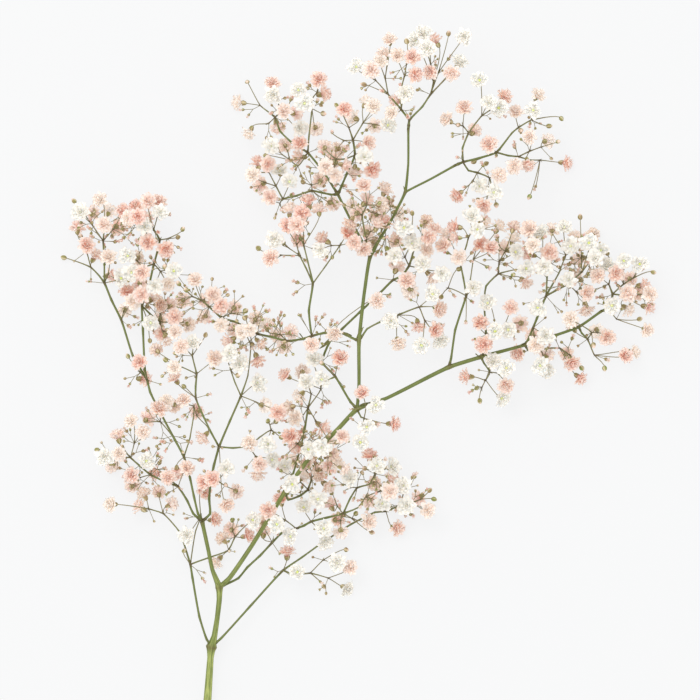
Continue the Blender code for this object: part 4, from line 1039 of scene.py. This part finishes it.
def grow_twigs(bm, tree):
    """Every twig and flower stalk of a spray."""
    chains, limbs = twig_chains(tree)
    parents = {b: a for a, b in tree.rods}
    borne = flowers_beyond(tree, limbs)
    dry = bm.verts.layers.float["dry"]
    tint = bm.verts.layers.float["tint"]
    for chain in chains:
        places = [tree.places[joint] for joint in chain]
        radii = [min(THICKEST_TWIG, STALK * borne[joint] ** THICKENING) for joint in chain]
        if chain[0] == 0:
            places.insert(0, tree.seat)
            radii[0] *= FOOT_SHARE
            radii.insert(0, radii[0])
        first = unit(places[1] - places[0])
        if chain[0] in parents:
            before = unit(tree.places[chain[0]] - tree.places[parents[chain[0]]])
            first = unit(first + 0.2 * before)
            radii[0] = min(radii[0], radii[1] * 1.15)
        last = unit(places[-1] - places[-2])
        if chain[-1] in tree.heads:
            last = tree.heads[chain[-1]][2]
        points, stations = smooth_line(places, first, last)
        thick = np.interp(stations, range(len(radii)), radii)
        for i, station in enumerate(stations):
            if station == int(station) and 0 < station < len(places) - 1:
                thick[i] *= FORK_SWELL
        turns = STALK_TURNS if len(chain) == 2 and chain[-1] in tree.heads else TWIG_TURNS
        verts = add_limb(bm, points, thick, turns)
        joints = [0] * (len(places) - len(chain)) + chain
        for number, vert in enumerate(verts):
            station = stations[number // turns]
            near = joints[round(station)]
            forks = near == 0 or len(limbs.get(near, ())) > 1
            vert[dry] = 1.0 if forks and abs(station - round(station)) < AT_JOINT else 0.0
            vert[tint] = min(1.0, (thick[number // turns] - STALK) / (THICKEST_TWIG - STALK))
    return limbs


def add_bracts(bm, place, way, length, draw, count=2):
    """Small pointed scales round a fork."""
    start = draw.uniform(0, 2 * math.pi)
    for bract in range(count):
        lean = (math.radians(6.0), math.radians(draw.uniform(20.0, 48.0)))
        long = length * draw.uniform(0.8, 1.2)
        verts = add_blade(bm, long, long * 0.42, lean, BRACT_BLADE, draw, ragged=0.02)
        spin = start + 2 * math.pi * bract / count + draw.gauss(0, 0.3)
        stand = Matrix.Translation(Vector(place)) @ turn_to(way, spin) @ Matrix.Translation((0.3, 0.0, -0.25))
        bmesh.ops.transform(bm, matrix=stand, verts=verts)


def press_down(mesh):
    """Press what lies lowest against the table, keeping the order of its layers."""
    heights = np.empty(len(mesh.vertices) * 3)
    mesh.vertices.foreach_get("co", heights)
    z = heights[2::3]
    low = z < PRESS_FROM
    z[low] = PRESS_FROM * np.exp((z[low] - PRESS_FROM) / PRESS_FROM)
    mesh.vertices.foreach_set("co", heights)


def finish_piece(bm, name, material):
    """Write a piece in metres, smooth and with its finish, and let it ride on the body."""
    bmesh.ops.recalc_face_normals(bm, faces=bm.faces)
    mesh = bpy.data.meshes.new(name)
    bm.to_mesh(mesh)
    bm.free()
    press_down(mesh)
    mesh.transform(Matrix.Scale(MM, 4))
    mesh.polygons.foreach_set("use_smooth", [True] * len(mesh.polygons))
    mesh.materials.append(material)
    mesh.update()
    thing = bpy.data.objects.new(name, mesh)
    bpy.context.scene.collection.objects.link(thing)
    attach(thing, "root")
    return thing


# Tint from cream to salmon, and how dry, for each kind: lowest and highest
TINTS = {PINK: (0.08, 0.9), CREAM: (0.0, 0.2), BACK: (0.15, 0.6), SMALL: (0.2, 0.7), WHITE: (0.0, 0.15),
         BUD: (0.0, 1.0)}
DRYNESS = {PINK: (0.0, 0.5), CREAM: (0.0, 0.3), BACK: (0.3, 1.0), SMALL: (0.2, 0.8), WHITE: (0.0, 0.2),
           BUD: (0.0, 1.0)}


def add_copy(bm, model, place, tint, dry):
    """Copy a model into a piece at a place, with its own tint and dryness."""
    mesh = model.copy()
    mesh.transform(place)
    count = len(mesh.vertices)
    mesh.attributes["tint"].data.foreach_set("value", [tint] * count)
    mesh.attributes["dry"].data.foreach_set("value", [dry] * count)
    bm.from_mesh(mesh)
    bpy.data.meshes.remove(mesh)


def add(tree, kind, inputs=(), **settings):
    """A shader node with its settings and its inputs, each linked or set."""
    made = tree.nodes.new(kind)
    for name, value in settings.items():
        setattr(made, name, value)
    for name, value in dict(inputs).items():
        if isinstance(value, bpy.types.NodeSocket):
            tree.links.new(value, made.inputs[name])
        else:
            made.inputs[name].default_value = value
    return made


def tone(code):
    """Linear colour from a six-figure screen colour."""
    parts = [int(code[i:i + 2], 16) / 255.0 for i in (0, 2, 4)]
    return (*(part / 12.92 if part <= 0.04045 else ((part + 0.055) / 1.055) ** 2.4 for part in parts), 1.0)


def attribute(tree, name, output="Fac"):
    """The socket that reads one of the mesh's layers."""
    return add(tree, "ShaderNodeAttribute", attribute_name=name).outputs[output]


def sums(tree, operation, *values, clamp=False):
    """The result of one step of arithmetic on sockets or numbers."""
    made = add(tree, "ShaderNodeMath", operation=operation, use_clamp=clamp)
    for number, value in enumerate(values):
        if isinstance(value, bpy.types.NodeSocket):
            tree.links.new(value, made.inputs[number])
        else:
            made.inputs[number].default_value = value
    return made.outputs[0]


def blend(tree, share, first, second, how="MIX"):
    """Mix two colours by a share."""
    made = add(tree, "ShaderNodeMix", data_type="RGBA", blend_type=how)
    for number, value in ((0, share), (6, first), (7, second)):
        if isinstance(value, bpy.types.NodeSocket):
            tree.links.new(value, made.inputs[number])
        else:
            made.inputs[number].default_value = value
    return made.outputs[2]


def reach(tree, value, low, high, to_low=0.0, to_high=1.0):
    """Map a value's range to another, held at both ends."""
    names = {"From Min": low, "From Max": high, "To Min": to_low, "To Max": to_high}
    made = add(tree, "ShaderNodeMapRange", {"Value": value, **names}, clamp=True)
    return made.outputs[0]


def new_group(name, inputs, outputs):
    """An empty node group, with its inner ends for what goes in and what comes out."""
    group = bpy.data.node_groups.new(name, "ShaderNodeTree")
    for way, names in (("INPUT", inputs), ("OUTPUT", outputs)):
        for socket, kind in names.items():
            group.interface.new_socket(socket, in_out=way, socket_type=kind)
    return group, group.nodes.new("NodeGroupInput").outputs, group.nodes.new("NodeGroupOutput").inputs


COLOUR = "NodeSocketColor"
NUMBER = "NodeSocketFloat"
# What each group of nodes puts out
SURFACE = {"Color": COLOUR, "Roughness": NUMBER, "Height": NUMBER}


def petal_group():
    """Petal colours: a deep heart, a pale rim, veins, and dry stains."""
    names = {"Pale": COLOUR, "Deep": COLOUR, "Heart": COLOUR, "Stain": COLOUR, "Heart Reach": NUMBER}
    group, given, out = new_group("petal_surface", names, SURFACE)
    spot = add(group, "ShaderNodeTexCoord").outputs["Object"]
    coarse = add(group, "ShaderNodeTexNoise", {"Vector": spot, "Scale": 420.0, "Detail": 3.0}).outputs[0]
    fine = add(group, "ShaderNodeTexNoise", {"Vector": spot, "Scale": 1900.0, "Detail": 2.0}).outputs[0]
    along = attribute(group, "along")
    across_blade = attribute(group, "across")
    tint = attribute(group, "tint")
    dry = attribute(group, "dry")
    veins = sums(group, "SINE", sums(group, "MULTIPLY", across_blade, 15.0))
    veins = sums(group, "MULTIPLY", sums(group, "MULTIPLY", veins, 0.5), sums(group, "SUBTRACT", 1.05, along))
    wash = sums(group, "ADD", reach(group, along, 0.3, 0.95, 1.15, 0.5), sums(group, "MULTIPLY", veins, 0.35))
    wash = sums(group, "ADD", wash, reach(group, coarse, 0.3, 0.7, -0.3, 0.3))
    colour = blend(group, sums(group, "MULTIPLY", wash, tint, clamp=True), given["Pale"], given["Deep"])
    core = sums(group, "SUBTRACT", given["Heart Reach"], along)
    core = reach(group, sums(group, "ADD", core, reach(group, coarse, 0.3, 0.7, -0.08, 0.08)), 0.0, 0.28)
    colour = blend(group, core, colour, given["Heart"])
    stain = reach(group, sums(group, "ADD", fine, sums(group, "MULTIPLY", dry, 0.22)), 0.58, 0.78, 0.0, 0.75)
    stain = sums(group, "MULTIPLY", stain, reach(group, dry, 0.0, 1.0, 0.25, 1.0))
    colour = blend(group, stain, colour, given["Stain"])
    group.links.new(colour, out["Color"])
    group.links.new(reach(group, fine, 0.2, 0.8, 0.62, 0.86), out["Roughness"])
    height = sums(group, "ADD", sums(group, "MULTIPLY", veins, 0.6), fine)
    group.links.new(height, out["Height"])
    return group


def bark_group():
    """Limb colours: lengthwise streaks, painted shade along the grooves between the ribs, speckles and a
    bump.
    """
    names = {"Streak": NUMBER}
    names.update((name, COLOUR) for name in ("Light", "Dark", "Thin", "Worn", "Knot"))
    group, given, out = new_group("limb_surface", names, SURFACE)
    spot = add(group, "ShaderNodeTexCoord").outputs["Object"]
    grain = attribute(group, "grain", "Vector")
    drawn = add(group, "ShaderNodeMapping", {"Vector": grain, "Scale": (2.4, 2.4, 0.10)}).outputs[0]
    turned = add(group, "ShaderNodeSeparateXYZ", {"Vector": grain}).outputs
    # Painted shade: five dark lengthwise lines along the stem's rib grooves; the twigs have no ribs but get
    # the same dark lines
    angle = sums(group, "ARCTAN2", turned[1], turned[0])
    painted_groove_shade = reach(group, sums(group, "COSINE", sums(group, "MULTIPLY", angle, RIBS)), -1.0, 0.2, 0.35, -0.15)
    streaks = add(group, "ShaderNodeTexNoise", {"Vector": drawn, "Scale": 1.6, "Detail": 4.0}).outputs[0]
    patches = add(group, "ShaderNodeTexNoise", {"Vector": spot, "Scale": 95.0, "Detail": 3.0}).outputs[0]
    specks = add(group, "ShaderNodeTexNoise", {"Vector": spot, "Scale": 1300.0, "Detail": 2.0}).outputs[0]
    share = sums(group, "MULTIPLY", reach(group, streaks, 0.36, 0.64), given["Streak"])
    share = sums(group, "ADD", share, painted_groove_shade)
    share = sums(group, "ADD", share, reach(group, patches, 0.3, 0.7, -0.2, 0.2), clamp=True)
    colour = blend(group, share, given["Light"], given["Dark"])
    slender = sums(group, "SUBTRACT", 1.0, attribute(group, "tint"))
    slender = sums(group, "ADD", slender, reach(group, patches, 0.3, 0.7, -0.15, 0.15), clamp=True)
    colour = blend(group, slender, colour, given["Thin"])
    colour = blend(group, reach(group, specks, 0.62, 0.78, 0.0, 0.5), colour, given["Worn"])
    knot = sums(group, "MULTIPLY", attribute(group, "dry"), reach(group, patches, 0.3, 0.7, 0.6, 1.0))
    colour = blend(group, knot, colour, given["Knot"])
    group.links.new(colour, out["Color"])
    group.links.new(reach(group, specks, 0.2, 0.8, 0.42, 0.68), out["Roughness"])
    group.links.new(sums(group, "ADD", streaks, sums(group, "MULTIPLY", specks, 0.35)), out["Height"])
    return group


BUMP_DISTANCE = 0.0001


def new_material(name, group, given, bump, glow=0.3, painted_glow=0.0):
    """A material from a group's colour, roughness and height; petals also let some light through, and glow a
    little with painted light in their own colour.
    """
    material = bpy.data.materials.new(name)
    material.use_nodes = True
    tree = material.node_tree
    tree.nodes.clear()
    look = add(tree, "ShaderNodeGroup", node_tree=group)
    for socket, value in given.items():
        look.inputs[socket].default_value = value
    relief = add(tree, "ShaderNodeBump",
                 {"Height": look.outputs["Height"], "Strength": bump, "Distance": BUMP_DISTANCE})
    inputs = {
        "Base Color": look.outputs["Color"],
        "Roughness": look.outputs["Roughness"],
        "Normal": relief.outputs[0],
        "Subsurface Weight": glow,
        "Subsurface Radius": (1.0, 0.75, 0.6),
        "Subsurface Scale": 0.002,
        # Emission in the surface's own colour: a painted glow that stands in for light passing through the
        # petals and lifts their shaded parts
        "Emission Color": look.outputs["Color"],
        "Emission Strength": painted_glow,
        "Specular IOR Level": 0.25,
    }
    shader = add(tree, "ShaderNodeBsdfPrincipled", inputs)
    end = add(tree, "ShaderNodeOutputMaterial")
    tree.links.new(shader.outputs[0], end.inputs["Surface"])
    return material


def calyx_group():
    """Calyx and bud colours: green at the foot, tan or pink towards the tip, with seams."""
    names = {"Green": COLOUR, "Tan": COLOUR, "Tip": COLOUR, "Margin": COLOUR}
    group, given, out = new_group("calyx_surface", names, SURFACE)
    spot = add(group, "ShaderNodeTexCoord").outputs["Object"]
    coarse = add(group, "ShaderNodeTexNoise", {"Vector": spot, "Scale": 500.0, "Detail": 3.0}).outputs[0]
    fine = add(group, "ShaderNodeTexNoise", {"Vector": spot, "Scale": 2200.0, "Detail": 2.0}).outputs[0]
    along = attribute(group, "along")
    tint = attribute(group, "tint")
    dry = attribute(group, "dry")
    share = sums(group, "ADD", dry, reach(group, coarse, 0.3, 0.7, -0.3, 0.3), clamp=True)
    colour = blend(group, share, given["Green"], given["Tan"])
    seam = reach(group, attribute(group, "across"), 0.45, 1.0, 0.0, 0.8)
    colour = blend(group, seam, colour, given["Margin"])
    tip = reach(group, sums(group, "ADD", along, sums(group, "MULTIPLY", tint, 0.35)), 0.85, 1.15)
    colour = blend(group, tip, colour, given["Tip"])
    colour = blend(group, reach(group, fine, 0.6, 0.8, 0.0, 0.4), colour, given["Tan"])
    group.links.new(colour, out["Color"])
    group.links.new(reach(group, fine, 0.2, 0.8, 0.5, 0.8), out["Roughness"])
    group.links.new(sums(group, "ADD", coarse, sums(group, "MULTIPLY", fine, 0.4)), out["Height"])
    return group


PETALS = petal_group()
LIMBS = bark_group()
CALYXES = calyx_group()
# Both petal materials glow a little by emission: painted light, not a lamp
PINK_PETAL = new_material("pink_petal", PETALS, {
    "Pale": tone("F7EBDF"), "Deep": tone("EAAE9C"), "Heart": tone("E0A68C"), "Stain": tone("C49D7C"),
    "Heart Reach": 0.22}, 0.25, glow=0.7, painted_glow=0.09)
WHITE_PETAL = new_material("white_petal", PETALS, {
    "Pale": tone("F2EEE5"), "Deep": tone("ECDFD2"), "Heart": tone("C6CE66"), "Stain": tone("DAD4B6"),
    "Heart Reach": 0.30}, 0.25, glow=0.7, painted_glow=0.08)
OLIVE_STEM = new_material("olive_stem", LIMBS, {
    "Light": tone("A6AF66"), "Dark": tone("5F6E34"), "Thin": tone("66703E"), "Worn": tone("8C8B55"),
    "Knot": tone("675B3A"),
    "Streak": 0.8}, 0.5, glow=0.05)
DRY_TWIG = new_material("dry_twig", LIMBS, {
    "Light": tone("768049"), "Dark": tone("525A30"), "Thin": tone("8B8260"), "Worn": tone("8F8460"),
    "Knot": tone("5A4934"),
    "Streak": 0.7}, 0.4, glow=0.05)
GREEN_CALYX = new_material("green_calyx", CALYXES, {
    "Green": tone("87914F"), "Tan": tone("9A8262"), "Tip": tone("EBD2C2"),
    "Margin": tone("CFC3A0")}, 0.4, glow=0.2)


def make_models():
    """Several seeded variants of each flower form, one unit in radius."""
    models = {}
    for number in range(HEAD_MODELS):
        draw = random.Random(f"{SEED} model {number}")
        models["double", number] = bloom_model(f"double_{number}", DOUBLE_RINGS, draw, CORE)
        rings = FULL_RINGS if number % 2 else OPEN_RINGS
        models["open", number] = bloom_model(f"open_{number}", rings, draw)
        models["tuft", number] = bloom_model(f"tuft_{number}", TUFT_RINGS, draw, large=0)
        models["calyx", number] = calyx_model(f"calyx_{number}", draw)
        models["heart", number] = heart_model(f"heart_{number}", draw)
        models["bud", number] = bud_model(f"bud_{number}", draw)
    return models


FORM = {PINK: "double", CREAM: "double", BACK: "double", WHITE: "open", SMALL: "tuft"}


# Places on the sheet where fine dry sprigs crowd together: (x, y, reach) in ruled steps
THICKETS = [(300, 345, 34), (322, 462, 42), (180, 300, 34), (362, 205, 42), (250, 330, 30), (318, 175, 36),
            (120, 235, 34), (560, 260, 40), (505, 235, 36), (395, 480, 32), (215, 330, 30), (150, 450, 30)]
TIPS = [("bud", 0.75), ("bud", 0.95), ("calyx", 2.2), ("tuft", 2.0), ("tuft", 2.5), ("tuft", 2.8)]
SPRIG_TRIES = 14
# Millimetres: room kept round a tip, its least height, and how far a sprig may crowd into others
TIP_ROOM = 1.2
LOWEST_TIP = 2.0
SPRIG_CROWDING = 0.2
SPRIG_RUN = (3.2, 8.0)
THICKET_RUN = (4.0, 11.0)
SPRIG_FORK = 0.55
SPRIG_STALK = 0.15
TWO_WAYS = 0.6


def tangled(place):
    """True where the fine growth is thick."""
    return any(np.linalg.norm(place[:2] - sheet(x, y, 0)[:2]) < size * STEP_MM for x, y, size in THICKETS)


def add_tip(pieces, models, place, way, draw):
    """A tiny bud, an empty calyx or a withered floret at the end of a sprig."""
    form, size = draw.choice(TIPS)
    size *= draw.uniform(0.85, 1.15)
    spot = (Matrix.Translation(Vector(place + way * size * 0.9)) @ turn_to(way, draw.uniform(0, 2 * math.pi))
            @ Matrix.Scale(size, 4))
    number = draw.randrange(HEAD_MODELS)
    tint, dry = draw.uniform(0.1, 1.0), draw.uniform(0.2, 1.0)
    if form == "tuft":
        add_copy(pieces["calyxes"], models["calyx", number], spot, tint, dry)
        add_copy(pieces["pink_blooms"], models["tuft", number], spot, tint, dry)
    else:
        add_copy(pieces["calyxes"], models[form, number], spot, tint, dry)


def add_sprig(pieces, tree, joint, models, draw, thicket):
    """A short side stalk from a fork, parting once more where the growth is thick."""
    hub = tree.places[joint]
    out = sum(tree.limbs(joint))
    best = None
    for _ in range(SPRIG_TRIES):
        way = unit(np.array([draw.gauss(0, 1.0), draw.gauss(0, 1.0), draw.gauss(0, 0.7)]) + 0.3 * out)
        run = draw.uniform(*(THICKET_RUN if thicket else SPRIG_RUN))
        tip = hub + way * run
        spare = min(tree.space.room(hub, tip, SPRIG_STALK, (tree.label(joint),)),
                    tree.space.room(tip, tip, TIP_ROOM))
        if tip[2] > LOWEST_TIP and (best is None or spare > best[0]):
            best = (spare, tip, way, run)
    if best is None or best[0] < -SPRIG_CROWDING:
        return
    _, tip, way, run = best
    ends = [(tip, way)]
    stem_end = tip
    if thicket or draw.random() < TWO_WAYS:
        stem_end = hub + way * run * SPRIG_FORK
        side = across(way)
        side = side * math.cos(run * 7.0) + np.cross(way, side) * math.sin(run * 7.0)
        ends = []
        for hand in (-1, 1):
            lean = unit(way + side * hand * draw.uniform(0.35, 0.7))
            ends.append((stem_end + lean * run * draw.uniform(0.4, 0.65), lean))
    bm = pieces["twigs"]
    rods = [(hub, stem_end)]
    if stem_end is not tip:
        rods.extend((stem_end, end) for end, _ in ends)
    for a, b in rods:
        add_limb(bm, [a, (a + b) / 2.0, b], [SPRIG_STALK] * 3, 4)
        tree.space.add(a, b, SPRIG_STALK, [tree.label(joint), tree.label(joint)])
    for end, lean in ends:
        add_tip(pieces, models, end, lean, draw)
        tree.space.add(end, end, TIP_ROOM, [-1, -1])


def add_head(pieces, models, kind, centre, axis, size, draw):
    """A bud, or a bloom with its calyx."""
    number = draw.randrange(HEAD_MODELS)
    place = (Matrix.Translation(Vector(centre)) @ turn_to(axis, draw.uniform(0, 2 * math.pi))
             @ Matrix.Scale(size, 4))
    tint = draw.uniform(*TINTS[kind])
    dry = draw.uniform(*DRYNESS[kind])
    if kind == BUD:
        add_copy(pieces["calyxes"], models["bud", number], place, tint, dry)
        return
    add_copy(pieces["calyxes"], models["calyx", number], place, tint, max(dry, 0.6))
    if kind == WHITE:
        add_copy(pieces["white_blooms"], models["open", number], place, tint, dry)
        add_copy(pieces["white_blooms"], models["heart", number], place, 0.0, 0.0)
    else:
        add_copy(pieces["pink_blooms"], models[FORM[kind], number], place, tint, dry)


def grow_spray(tree, models):
    """The twigs, heads and bracts of one spray, as unfinished pieces."""
    draw = random.Random(f"{SEED} looks of {tree.name}")
    pieces = {part: new_model() for part in FINISHES}
    limbs = grow_twigs(pieces["twigs"], tree)
    for joint, ahead in limbs.items():
        if len(ahead) > 1 and joint:
            back = next(a for a, b in tree.rods if b == joint)
            way = unit(tree.places[joint] - tree.places[back])
            add_bracts(pieces["twigs"], tree.places[joint], way, draw.uniform(1.3, 2.2), draw)
    for kind, centre, axis, size in tree.heads.values():
        add_head(pieces, models, kind, centre, axis, size, draw)
    return tree, pieces, limbs


def grow_sprigs(tree, pieces, limbs, models):
    """Fine side sprigs at a spray's forks, more of them where the growth is thick."""
    draw = random.Random(f"{SEED} sprigs of {tree.name}")
    for joint, ahead in limbs.items():
        thicket = tangled(tree.places[joint])
        count = (3 if thicket else 1) if len(ahead) > 1 else (2 if thicket else 0)
        if joint:
            for _ in range(count):
                add_sprig(pieces, tree, joint, models, draw, thicket)


FINISHES = {
    "twigs": (DRY_TWIG, "dry_twig"),
    "pink_blooms": (PINK_PETAL, "pink_petal"),
    "white_blooms": (WHITE_PETAL, "white_petal"),
    "calyxes": (GREEN_CALYX, "green_calyx"),
}


def finish_spray(tree, pieces):
    """Finish each piece of a spray that has any growth, and let it stand for the spray's node."""
    for part, bm in pieces.items():
        if not bm.verts:
            bm.free()
            continue
        material, slot = FINISHES[part]
        thing = finish_piece(bm, f"{tree.name}_{part}", material)
        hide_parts(tree.name)


# Narrow leaves at the stem's forks: place in ruled steps, turn from +X and rise in degrees, millimetres
LEAVES = [(331, 339, 88, 222, -8, 9.0), (350, 336, 93, 158, 10, 8.0), (358, 337, 92, 62, 20, 7.5),
          (356, 406, 84, 152, 12, 5.0), (361, 405, 83, 18, 15, 6.0), (334, 377, 88, 205, 10, 4.5),
          (303, 339, 84, 120, 15, 4.5), (481, 357, 62, 150, 18, 4.5), (482, 359, 60, 285, 8, 3.5),
          (525, 343, 56, 205, 8, 5.0), (211, 647, 24, 132, 35, 3.0), (214, 646, 24, 40, 35, 3.0),
          (219, 588, 36, 120, 30, 4.0), (221, 587, 36, 48, 30, 4.5), (283, 571, 40, 330, 10, 5.0),
          (272, 543, 45, 75, 15, 4.5), (202, 520, 48, 100, 20, 4.5), (393, 219, 106, 62, 20, 4.5),
          (405, 192, 110, 110, 15, 4.0), (456, 166, 101, 35, 15, 4.0)]
LEAF_SEAT = 0.8
# A leaf's width as a share of its length, and how it leans at its foot and at its tip
LEAF_WIDTH = 0.26
LEAF_LEAN = (math.radians(-6.0), math.radians(18.0))


def add_leaves(bm, draw):
    """Narrow pointed leaves where the stem forks."""
    tint = bm.verts.layers.float["tint"]
    dry = bm.verts.layers.float["dry"]
    for x, y, height, turn, rise, length in LEAVES:
        turn, rise = math.radians(turn), math.radians(rise)
        way = Vector((math.cos(turn) * math.cos(rise), math.sin(turn) * math.cos(rise), math.sin(rise)))
        verts = add_blade(bm, length, length * LEAF_WIDTH, LEAF_LEAN, BRACT_BLADE, draw,
                          ragged=0.02)
        seat = Matrix.Translation(Vector(sheet(x, y, height)) - way * LEAF_SEAT)
        stand = seat @ turn_to(way, draw.uniform(0, 6))
        bmesh.ops.transform(bm, matrix=stand, verts=verts)
        for vert in verts:
            vert[tint] = 0.2
            vert[dry] = 0.55


# How far a swollen joint reaches along the stem, and how much it widens it
NODE_REACH = 1.4
NODE_SWELL = 0.24
# Radii in millimetres of the slender neck over the trunk's lowest joint, by joint
NECK = {5: 1.45, 6: 1.25, 7: 1.35}


def dress_stem(stem, seats):
    """The thick stem: ribbed limbs with swollen joints and narrow leaves at the forks."""
    bm = new_model()
    draw = random.Random(f"{SEED} stem")
    chains, limbs = twig_chains(stem)
    parents = {b: a for a, b in stem.rods}
    forks = [stem.places[joint] for joint, ahead in limbs.items() if len(ahead) > 1] + seats
    tint = bm.verts.layers.float["tint"]
    dry = bm.verts.layers.float["dry"]
    for chain in chains:
        places = [stem.places[joint] for joint in chain]
        radii = [stem.radii[joint] for joint in chain]
        radii = [radius if radius > THICK_STEM else radius * STEM_SLIM for radius in radii]
        radii = [NECK.get(joint, radius) for joint, radius in zip(chain, radii)]
        first = unit(places[1] - places[0])
        if chain[0] in parents:
            before = unit(stem.places[chain[0]] - stem.places[parents[chain[0]]])
            first = unit(first + 0.3 * before)
            radii[0] = radii[1]
        last = unit(places[-1] - places[-2])
        points, stations = smooth_line(places, first, last, spacing=1.3, most=40)
        thick = np.interp(stations, range(len(radii)), radii)
        close = [max(math.exp(-(float(np.linalg.norm(point - fork)) / NODE_REACH) ** 2) for fork in forks)
                 for point in points]
        thick = thick * (1.0 + NODE_SWELL * np.array(close))
        verts = add_limb(bm, points, thick, STEM_TURNS, ribs=0.03)
        for number, vert in enumerate(verts):
            ring = number // STEM_TURNS
            vert[tint] = min(1.0, max(0.0, (thick[ring] - 0.8) / 0.9))
            vert[dry] = close[ring] * 0.8
    add_leaves(bm, draw)
    thing = finish_piece(bm, "main_stem_limbs", OLIVE_STEM)
    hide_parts("main_stem")


VIEW_WIDTH = 0.350
VIEW_PLACE = (0.0230, 0.0105)
CAMERA_HEIGHT = 5.0
SHEET_HEIGHT = 0.030
SENSOR = 36.0
LAMP_PLACE = (-0.55, 0.70, 2.8)


def make_camera():
    """A camera straight above the sheet, whose view is as wide as the sheet's."""
    data = bpy.data.cameras.new("camera")
    data.sensor_width = SENSOR
    data.lens = SENSOR * (CAMERA_HEIGHT - SHEET_HEIGHT) / VIEW_WIDTH
    data.clip_end = 20.0
    camera = bpy.data.objects.new("camera", data)
    camera.location = (*VIEW_PLACE, CAMERA_HEIGHT)
    bpy.context.scene.collection.objects.link(camera)
    bpy.context.scene.camera = camera


# Half the table's width in metres, wide enough that its edge stays out of a low view
TABLE_REACH = 40.0


def make_floor():
    """A pale table that glows a little, so that shadows on it stay faint."""
    bm = bmesh.new()
    bmesh.ops.create_grid(bm, x_segments=1, y_segments=1, size=TABLE_REACH)
    mesh = bpy.data.meshes.new("table")
    bm.to_mesh(mesh)
    bm.free()
    floor = bpy.data.objects.new("table", mesh)
    bpy.context.scene.collection.objects.link(floor)
    material = bpy.data.materials.new("table")
    material.use_nodes = True
    shader = material.node_tree.nodes["Principled BSDF"]
    shader.inputs["Base Color"].default_value = (0.12, 0.12, 0.12, 1.0)
    shader.inputs["Roughness"].default_value = 1.0
    shader.inputs["Specular IOR Level"].default_value = 0.0
    shader.inputs["Emission Color"].default_value = (0.99, 0.995, 1.0, 1.0)
    shader.inputs["Emission Strength"].default_value = 0.79
    mesh.materials.append(material)


def make_light():
    """White light from all round, and a round lamp above for faint shadows."""
    world = bpy.data.worlds.new("room")
    bpy.context.scene.world = world
    world.use_nodes = True
    world.node_tree.nodes["Background"].inputs[0].default_value = (1.0, 1.0, 1.0, 1.0)
    world.node_tree.nodes["Background"].inputs[1].default_value = 0.98
    data = bpy.data.lights.new("window", "AREA")
    data.shape = "DISK"
    data.size = 1.6
    data.energy = 38.0
    lamp = bpy.data.objects.new("window", data)
    lamp.location = LAMP_PLACE
    lamp.rotation_euler = (-Vector(LAMP_PLACE)).to_track_quat("-Z", "Y").to_euler()
    bpy.context.scene.collection.objects.link(lamp)


bpy.context.scene.view_settings.view_transform = "Standard"
MODELS = make_models()
TREES = lay_out()
dress_stem(TREES[0], [spray.seat for spray in TREES[1:]])
# Every spray is grown before the sprigs, so that a sprig keeps clear of all of them
DRESSED = [grow_spray(spray, MODELS) for spray in TREES[1:]]
for spray, spray_pieces, spray_limbs in DRESSED:
    grow_sprigs(spray, spray_pieces, spray_limbs, MODELS)
    finish_spray(spray, spray_pieces)
for model in MODELS.values():
    bpy.data.meshes.remove(model)
make_camera()
make_floor()
make_light()
